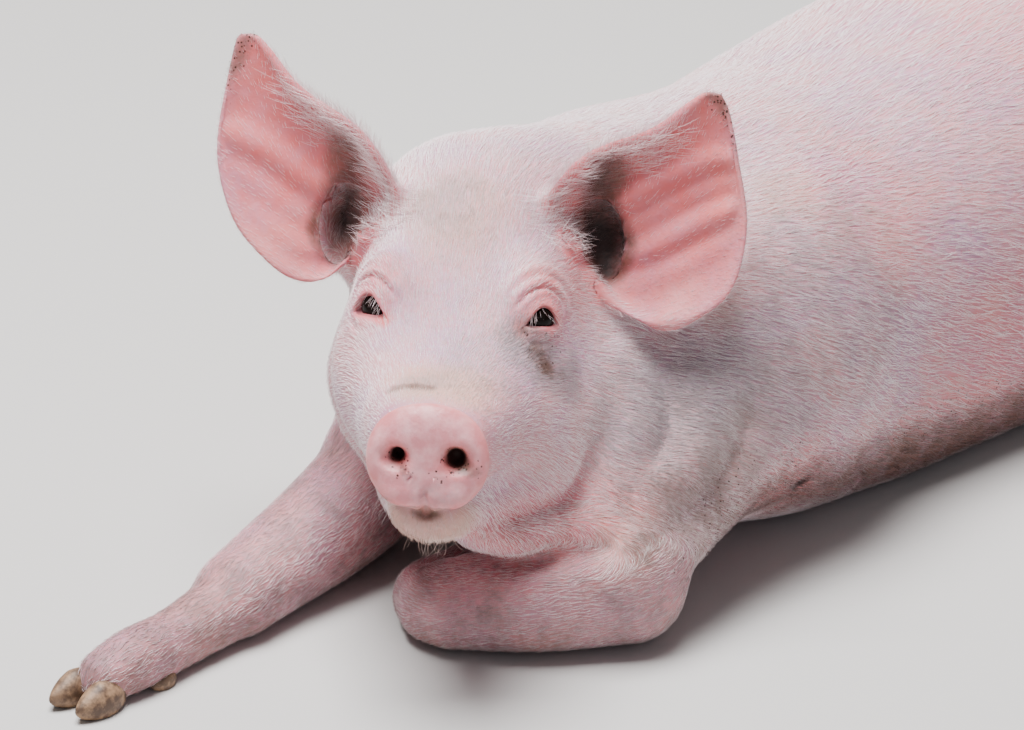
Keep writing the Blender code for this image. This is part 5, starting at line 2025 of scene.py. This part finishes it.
class Coat:
    """All the hair, grown from the skin's own attributes."""

    MOST = 19_500  # bristles in a piece, which keeps it under 200,000 triangles

    def __init__(self, skin: bpy.types.Object, material: bpy.types.Material) -> None:
        """Reads the skin.

        Args:
            skin: The finished skin with its attributes.
            material: The bristles' material.
        """
        self.skin, self.material = skin, material
        mesh = skin.data
        self.points = mesh_points(mesh)
        self.corners = np.empty(len(mesh.polygons) * 3, int)
        mesh.polygons.foreach_get("vertices", self.corners)
        self.corners = self.corners.reshape(-1, 3)
        self.values = {}
        for layer in mesh.attributes:
            if (layer.domain == "POINT" and layer.data_type in ("FLOAT", "FLOAT_VECTOR")
                    and layer.name != "position"):
                wide = 3 if layer.data_type == "FLOAT_VECTOR" else 1
                data = np.empty(len(self.points) * wide, np.float32)
                layer.data.foreach_get("vector" if wide == 3 else "value", data)
                self.values[layer.name] = data.reshape(-1, wide)
        a, b, c = (self.points[self.corners[:, i]] for i in range(3))
        self.areas = np.linalg.norm(np.cross(b - a, c - a), axis=1) / 2
        face_mean = {name: self.values[name][self.corners].mean(1)[:, 0] for name in ("ear", "leg", "grow")}
        self.grow = face_mean["grow"]
        self.where = Where((a + b + c) / 3, face_mean["ear"], face_mean["leg"])

    def ground(self, name: str, faces: np.ndarray,
               changed: dict[str, np.ndarray] | None = None) -> bpy.types.Object:
        """A copy of some of the skin's faces, unwrapped, for hair to grow on.

        Args:
            name: What it is called.
            faces: Which faces.
            changed: Point attributes that differ from the skin's.

        Returns:
            The patch as an object.
        """
        used, again = np.unique(self.corners[faces], return_inverse=True)
        mesh = bpy.data.meshes.new(name)
        mesh.from_pydata(self.points[used].tolist(), [], again.reshape(-1, 3).tolist())
        for key, data in {**self.values, **(changed or {})}.items():
            write_layer(mesh, key, data[used])
        thing = put(name, mesh)
        self.unwrap(thing)
        return thing

    def unwrap(self, thing: bpy.types.Object) -> None:
        """Lays a patch of skin out flat and keeps the map where the bristles can read it."""
        for other in bpy.context.selected_objects:
            other.select_set(False)
        thing.select_set(True)
        bpy.context.view_layer.objects.active = thing
        bpy.ops.object.mode_set(mode="EDIT")
        bpy.ops.mesh.select_all(action="SELECT")
        bpy.ops.uv.smart_project(angle_limit=math.radians(60), island_margin=0.004)
        bpy.ops.object.mode_set(mode="OBJECT")
        mesh = thing.data
        flat = np.zeros(len(mesh.loops) * 2, np.float32)
        mesh.uv_layers.active.uv.foreach_get("vector", flat)
        spread = np.zeros((len(mesh.loops), 3), np.float32)
        spread[:, :2] = flat.reshape(-1, 2)
        write_layer(mesh, "root_map", spread, "CORNER")

    def grow_piece(self, name: str, ground: bpy.types.Object, cut: Cut, share: float,
                   seed: int) -> bpy.types.Object:
        """Grows one piece of the coat on a patch of skin.

        Args:
            name: The piece's name.
            ground: The patch of skin.
            cut: The kind of hair.
            share: A factor on how dense it is.
            seed: The seed of everything random in it.

        Returns:
            The piece.
        """
        template = bristle_template(cut)
        tree = BristleTree(template)
        piece = tree.stand(ground, name, {
            "Density": share, "Seed": seed, "Thicker": cut.thicker, "Longer": cut.longer, "Stray": cut.stray,
            "Clump": cut.clump, "Free": cut.free, "Material": self.material,
        })
        for thing in (template, ground):
            discard(thing)
        bpy.data.node_groups.remove(tree.tree)
        for layer in list(piece.data.attributes):
            if layer.name in ("lie", "hair", "lift", "grow", "thick", "ear", "leg", "root_map", "patch"):
                piece.data.attributes.remove(layer)
        for layer in list(piece.data.uv_layers):
            if layer.name != "OFBake":
                piece.data.uv_layers.remove(layer)
        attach(piece, "root")
        LOG.info("%s: %d triangles", name, sum(len(face.vertices) - 2 for face in piece.data.polygons))
        return piece

    def build(self) -> None:
        """Grows every stand."""
        left = np.ones(len(self.corners), bool)
        for seed, stand in enumerate(stands()):
            mine = left & stand.holds(self.where)
            left &= ~mine
            count = (self.areas[mine] * self.grow[mine]).sum()
            LOG.info("%s: %d wanted", stand.name, count)
            ground = self.ground(stand.name + "_ground", np.flatnonzero(mine))
            self.grow_piece(stand.name, ground, stand.cut, min(1.0, self.MOST / max(count, 1.0)), seed)


# ------------------------------------------------------------------------------------- pieces


FLESH_NODES = (
    "belly", "chest", "neck", "rump", "head", "jaw", "snout", "tail", "thigh_left", "thigh_right",
    "shank_left", "shank_right", "hindfoot_left", "hindfoot_right", "forearm_left", "forearm_right",
    "forefoot_left", "forefoot_right", "ear_left", "ear_right",
)


@dataclass
class Skin:
    """The whole skin, with its folds, lids, nostrils and ear canals.

    Args:
        eyes: The eyes that its lids close round.
    """

    eyes: Sequence[EyeSite]

    def __post_init__(self) -> None:
        """Makes the ears, the tail and the hollows."""
        slim = (
            (-0.14, 0.01, 0.014), (-0.16, 0.024, 0.022), (-0.1, 0.037, 0.028), (0.03, 0.046, 0.031),
            (0.28, 0.054, 0.026), (0.58, 0.046, 0.016), (0.84, 0.022, 0.006), (1.0, 0.004, 0.0),
        )
        self.ears = [EarLeaf(1, (0.146, -0.178, 0.193)), EarLeaf(-1, (0.146, -0.188, 0.21), outer_rim=slim)]
        self.tail = Limb(TailCurl().rows(), steps=1)
        nostrils = [
            Mass((0.0164, -0.0005, 0.0012), (0.005, 0.01, 0.0052), HEAD),
            Mass((-0.0166, -0.0005, 0.001), (0.0037, 0.01, 0.0037), HEAD),
        ]
        canals = pair(lambda s: [
            Limb(((0.082 * s, -0.18, 0.083, 0.003), (0.079 * s, -0.182, 0.098, 0.007),
                  (0.0755 * s, -0.179, 0.112, 0.0058)), HEAD)
        ])
        self.hollows = nostrils + canals
        self.dishes = [
            Mass((0.0196, 0.0052, 0.0002), (0.0102, 0.0064, 0.0078), HEAD),
            Mass((-0.0186, 0.0052, 0.0), (0.0088, 0.0064, 0.0066), HEAD),
        ]

    def fields(self) -> tuple[Flesh, Flesh]:
        """The field without the ears and the whole field."""
        base = torso_forms() + head_forms()
        base += [(Limb(rows), 0.01) for rows in LIMBS.values()]
        base.append((self.tail, 0.006))
        lids = [(Mass(tuple(WORLD.local(np.array(eye.centre))), (0.013,) * 3), 0.009) for eye in self.eyes]
        carved = [(EyePit(eye), -0.0012) for eye in self.eyes]
        carved += [(form, -0.005) for form in self.dishes]
        carved += [(form, -0.014 if isinstance(form, Limb) else -0.003) for form in self.hollows]
        notch = Mass((0.0002, 0.001, -0.0322), (0.003, 0.012, 0.0056), HEAD)
        carved.append((notch, -0.003))
        return Flesh(base), Flesh(base + lids + [(leaf, 0.012) for leaf in self.ears] + carved)

    def build(self) -> bpy.types.Object:
        """The skin's mesh, standing for all the flesh."""
        trunk, whole = self.fields()
        folds = face_creases() + body_creases()
        maker = SkinMesh(whole, trunk, self.ears, self.eyes, self.hollows, [self.tail], creases=folds)
        thing = maker.build("skin")
        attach(thing, "root")
        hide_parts(*FLESH_NODES)
        return thing

    def dress(self, thing: bpy.types.Object) -> None:
        """Markings, the lie of the coat and the material.

        Args:
            thing: The skin.
        """
        ear = Painter(self.ears, self.eyes, self.hollows).paint(thing.data)
        Lie(self.ears, self.eyes, self.hollows).write(thing.data, ear)
        thing.data.materials.clear()
        thing.data.materials.append(PigSkin().make())


@dataclass
class EyeBall:
    """An eyeball with a slightly raised cornea.

    Args:
        label: Which node it stands for, "left" or "right".
        site: Where it sits.
    """

    label: str
    site: EyeSite

    def build(self) -> bpy.types.Object:
        """The eyeball's mesh, its pole along the gaze."""
        bm = bmesh.new()
        bmesh.ops.create_uvsphere(bm, u_segments=48, v_segments=32, radius=1.0)
        along, up, gaze = self.site.frame()
        for vertex in bm.verts:
            x, y, z = vertex.co
            bulge = 1.0 + 0.05 * max(0.0, (z - 0.72) / 0.28)
            place = (along * x + up * y + gaze * z * bulge) * self.site.radius
            vertex.co = Vector(np.array(self.site.centre) + place)
        bmesh.ops.recalc_face_normals(bm, faces=bm.faces)
        thing = put("eyeball_" + self.label, from_bmesh("eyeball_" + self.label, bm))
        thing.data.shade_smooth()
        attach(thing, "root")
        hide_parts("eye_" + self.label)
        return thing

    def dress(self, thing: bpy.types.Object, finish: bpy.types.Material) -> None:
        """Puts the material on."""
        thing.data.materials.append(finish)


@dataclass
class Claw:
    """A horn claw: a blunt wedge with a flat sole.

    Args:
        name: The piece's name.
        place: Its middle.
        heading: Where its tip points.
        up: Away from its sole.
        size: Width, length and height.
        node: The node it stands for, if it has one of its own.
    """

    name: str
    place: np.ndarray
    heading: np.ndarray
    up: np.ndarray
    size: Row
    node: str | None = None
    sole: float = 0.55

    def build(self) -> bpy.types.Object:
        """The claw's mesh."""
        side = np.cross(self.heading, self.up)
        bm = bmesh.new()
        bmesh.ops.create_uvsphere(bm, u_segments=28, v_segments=20, radius=1.0)
        for vertex in bm.verts:
            x, y, z = vertex.co
            x *= (1.0 - 0.42 * max(y, 0.0) ** 2) * 0.97
            z = max(z * (1.0 - 0.45 * max(y, 0.0)), -self.sole) * 0.97
            ring = 1.0 + 0.012 * math.sin(y * 26.0)
            local = np.array([x * ring * self.size[0], y * 0.97 * self.size[1], z * self.size[2]]) / 2
            vertex.co = Vector(self.place + local @ np.array([side, self.heading, self.up]))
        bmesh.ops.recalc_face_normals(bm, faces=bm.faces)
        thing = put(self.name, from_bmesh(self.name, bm))
        thing.data.shade_smooth()
        thing.data.set_sharp_from_angle(angle=math.radians(40))
        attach(thing, "root")
        if self.node:
            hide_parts(self.node)
        return thing

    def dress(self, thing: bpy.types.Object, finish: bpy.types.Material) -> None:
        """Puts the material on."""
        thing.data.materials.append(finish)


@dataclass
class Trotter:
    """The four claws of one foot.

    Args:
        name: The foot's node.
        rows: The foot's path.
        folded_back: Whether its soles face up.
    """

    name: str
    rows: Sequence[Row]
    folded_back: bool

    def claws(self) -> list[Claw]:
        """Two toes that bear the foot and two small ones behind."""
        end, before = (WORLD.place(row[:3]) for row in (self.rows[-1], self.rows[-2]))
        heading = (end - before) * (1.0, 1.0, 0.0)
        heading /= np.linalg.norm(heading)
        up = np.array([0.0, 0.0, -1.0 if self.folded_back else 1.0])
        across = np.cross(heading, up)
        toe_size, spur_size = (0.019, 0.039, 0.026), (0.011, 0.02, 0.014)
        found = []
        for label, way in (("outer", 1), ("inner", -1)):
            toe = end + heading * 0.016 + across * (0.0112 * way)
            toe[2] = toe_size[2] / 2 * (1.0 if self.folded_back else 0.55)
            name = f"{self.name}_claw_{label}"
            found.append(Claw("horn_" + name, toe, heading, up, toe_size, name))
            spur = before - heading * 0.008 + across * (0.015 * way)
            spur[2] = spur_size[2] / 2 * 0.55 + (0.018 if self.folded_back else 0.0)
            found.append(Claw(f"dewclaw_{self.name}_{label}", spur, heading, up, spur_size))
        return found


@dataclass
class LongHair:
    """Lashes, whiskers and the hair in the ears: few long bristles with ways of their own.

    Args:
        coat: Where the skin's faces and attributes are.
        eyes: The eyes, for the lashes.
        ears: The ears, for the hair in them.
    """

    coat: Coat
    eyes: Sequence[EyeSite]
    ears: Sequence[EarLeaf]

    def piece(self, name: str, where: np.ndarray, way: np.ndarray, grow: np.ndarray, hair: float,
              thick: float, lift: float, cut: Cut, seed: int) -> None:
        """One piece of long hair.

        Args:
            name: The piece's name.
            where: Which faces it grows on.
            way: The way it points, at every point of the skin.
            grow: How many there are for each square metre, at every point.
            hair: How long it is.
            thick: How thick it is at the root.
            lift: How far it stands out.
            cut: The kind of hair.
            seed: The seed of everything random in it.
        """
        count = len(self.coat.points)
        even = np.ones(count)
        changed = {"lie": way, "grow": grow, "hair": even * hair, "thick": even * thick, "lift": even * lift}
        ground = self.coat.ground(name + "_ground", np.flatnonzero(where), changed)
        self.coat.grow_piece(name, ground, cut, 1.0, seed)

    def lashes(self) -> None:
        """Pale lashes along the upper lid that hang over the eye."""
        for eye in self.eyes:
            label = "left" if eye.side > 0 else "right"
            points = self.coat.points
            along, up, gaze = eye.frame()
            side, high, _ = eye.local(points).T
            gap = eye.opening(points)
            edge = smooth_step(gap, 0.0022, 0.0012) * smooth_step(gap, 0.0, 0.0005)
            upper = smooth_step(high, -0.0005, 0.002) * (eye.nearness(points) < 0.0155)
            way = gaze * 0.75 - up * 0.62 + along * (side[:, None] * 40.0)
            where = self.coat.where.near(np.array(eye.centre), 0.02)
            self.piece("lashes_" + label, where, way, edge * upper * 2.4e5, 0.0088, 0.00015, 0.0,
                       Cut(stray=0.16, clump=0.0, free=1.0, bow=1.5, segments=5), 31)

    def whiskers(self) -> None:
        """Long pale whiskers on the chin and lips, and a few over the eyes."""
        points = self.coat.points
        local = HEAD.local(points)
        grow = np.zeros(len(points))
        for place, reach, dense in (
            ((0.0, -0.022, -0.05), 0.02, 3.0e4), ((0.028, -0.04, -0.03), 0.014, 1.4e4),
            ((-0.028, -0.04, -0.03), 0.014, 1.4e4), ((0.05, -0.122, 0.09), 0.01, 1.2e4),
            ((-0.05, -0.122, 0.09), 0.01, 1.2e4), ((0.045, -0.1, -0.06), 0.022, 0.9e4),
            ((-0.045, -0.1, -0.06), 0.022, 0.9e4),
        ):
            grow += dense * smooth_step(np.linalg.norm(local - place, axis=1), reach, reach * 0.5)
        way = self.coat.values["lie"] + HEAD.axes()[2] * np.where(local[:, 2:] < 0, -0.4, 0.2)
        where = self.coat.where.on_face()
        self.piece("whiskers", where, way, grow, 0.019, 0.00016, 0.5,
                   Cut(stray=0.6, clump=0.0, bow=18.0, segments=6), 32)

    def ear_hair(self) -> None:
        """Longer white hair that crosses the mouth of each ear from its front margin."""
        for leaf in self.ears:
            label = "left" if leaf.side > 0 else "right"
            points = self.coat.points
            near, gap, along, across, front = leaf.beside(points)
            grow = np.zeros(len(points))
            margin = (smooth_step(across, 0.24, 0.1) * smooth_step(along, 0.62, 0.4) * (gap < 0.006)
                      * (front > 0))
            canal = (smooth_step(across, 0.52, 0.3) * smooth_step(along, 0.36, 0.16) * (gap < 0.02)
                     * (front > -0.004))
            grow[near] = 3.2e5 * np.maximum(margin, 0.5 * canal)
            way = np.tile(leaf.axis * 0.75 + leaf.out * 0.55 + leaf.facing * 0.25, (len(points), 1))
            where = self.coat.where.near(leaf.centre, leaf.reach + 0.01)
            self.piece("ear_hair_" + label, where, way, grow, 0.015, 0.0002, 0.3,
                       Cut(stray=0.3, clump=0.25, bow=3.5, segments=3), 33)

    def build(self) -> None:
        """All of it."""
        self.lashes()
        self.whiskers()
        self.ear_hair()


@dataclass(frozen=True)
class Studio:
    """A pale floor, soft lights and the camera."""

    camera_place: Row = (1.6984, -2.0175, 1.1877)
    camera_aim: Row = (0.1235, -0.4426, 0.196)
    lens: float = 150.0

    def floor(self) -> None:
        """A wide pale floor."""
        bm = bmesh.new()
        bmesh.ops.create_grid(bm, x_segments=1, y_segments=1, size=8.0)
        floor = put("floor", from_bmesh("floor", bm))
        paint = bpy.data.materials.new("studio floor")
        paint.use_nodes = True
        shader = paint.node_tree.nodes["Principled BSDF"]
        shader.inputs["Base Color"].default_value = linear("#c8c5c3")
        shader.inputs["Roughness"].default_value = 0.85
        floor.data.materials.append(paint)

    def light(self, name: str, place: Row, size: float, power: float, colour: str) -> None:
        """A soft square light aimed at the head."""
        data = bpy.data.lights.new(name, "AREA")
        data.shape = "SQUARE"
        data.size, data.energy = size, power
        data.color = linear(colour)[:3]
        lamp = bpy.data.objects.new(name, data)
        bpy.context.scene.collection.objects.link(lamp)
        lamp.location = place
        aim = Vector((0.08, -0.25, 0.12)) - Vector(place)
        lamp.rotation_euler = aim.to_track_quat("-Z", "Y").to_euler()

    def build(self) -> None:
        """Sets the scene."""
        self.floor()
        self.light("sky", (-0.3, -0.65, 3.1), 1.8, 290.0, "#ffffff")
        self.light("fill", (2.6, -1.0, 1.0), 2.0, 6.0, "#eef2ff")
        self.light("back", (-1.2, 1.6, 2.2), 1.8, 18.0, "#fff4ea")
        world = bpy.data.worlds.new("world")
        bpy.context.scene.world = world
        world.use_nodes = True
        background = world.node_tree.nodes["Background"]
        background.inputs["Color"].default_value = linear("#e8ebf0")
        background.inputs["Strength"].default_value = 0.24
        camera = bpy.data.objects.new("camera", bpy.data.cameras.new("camera"))
        bpy.context.scene.collection.objects.link(camera)
        camera.data.lens = self.lens
        camera.data.sensor_width = 36.0
        camera.location = self.camera_place
        aim = Vector(self.camera_aim) - Vector(self.camera_place)
        camera.rotation_euler = aim.to_track_quat("-Z", "Y").to_euler()
        bpy.context.scene.camera = camera


def main() -> None:
    """Builds the pig over its solids."""
    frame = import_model()
    LOG.info("%d nodes", len(frame["nodes"]))
    eyes = []
    for side, label in ((1, "left"), (-1, "right")):
        low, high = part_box("eye_" + label)
        eyes.append(EyeSite(side, tuple((low + high) / 2), (high.z - low.z) / 2))
    skin = Skin(eyes)
    body = skin.build()
    skin.dress(body)
    wet, horn = WetEye().make(), Horn().make()
    for label, site in zip(("left", "right"), eyes):
        ball = EyeBall(label, site)
        ball.dress(ball.build(), wet)
    for name, rows in LIMBS.items():
        if "foot" in name:
            for claw in Trotter(name, rows, name == "forefoot_left").claws():
                claw.dress(claw.build(), horn)
    coat = Coat(body, Bristle().make())
    coat.build()
    LongHair(coat, eyes, skin.ears).build()
    Studio().build()


if __name__ == "__main__":
    logging.basicConfig(level=logging.INFO, format="%(message)s")
    main()
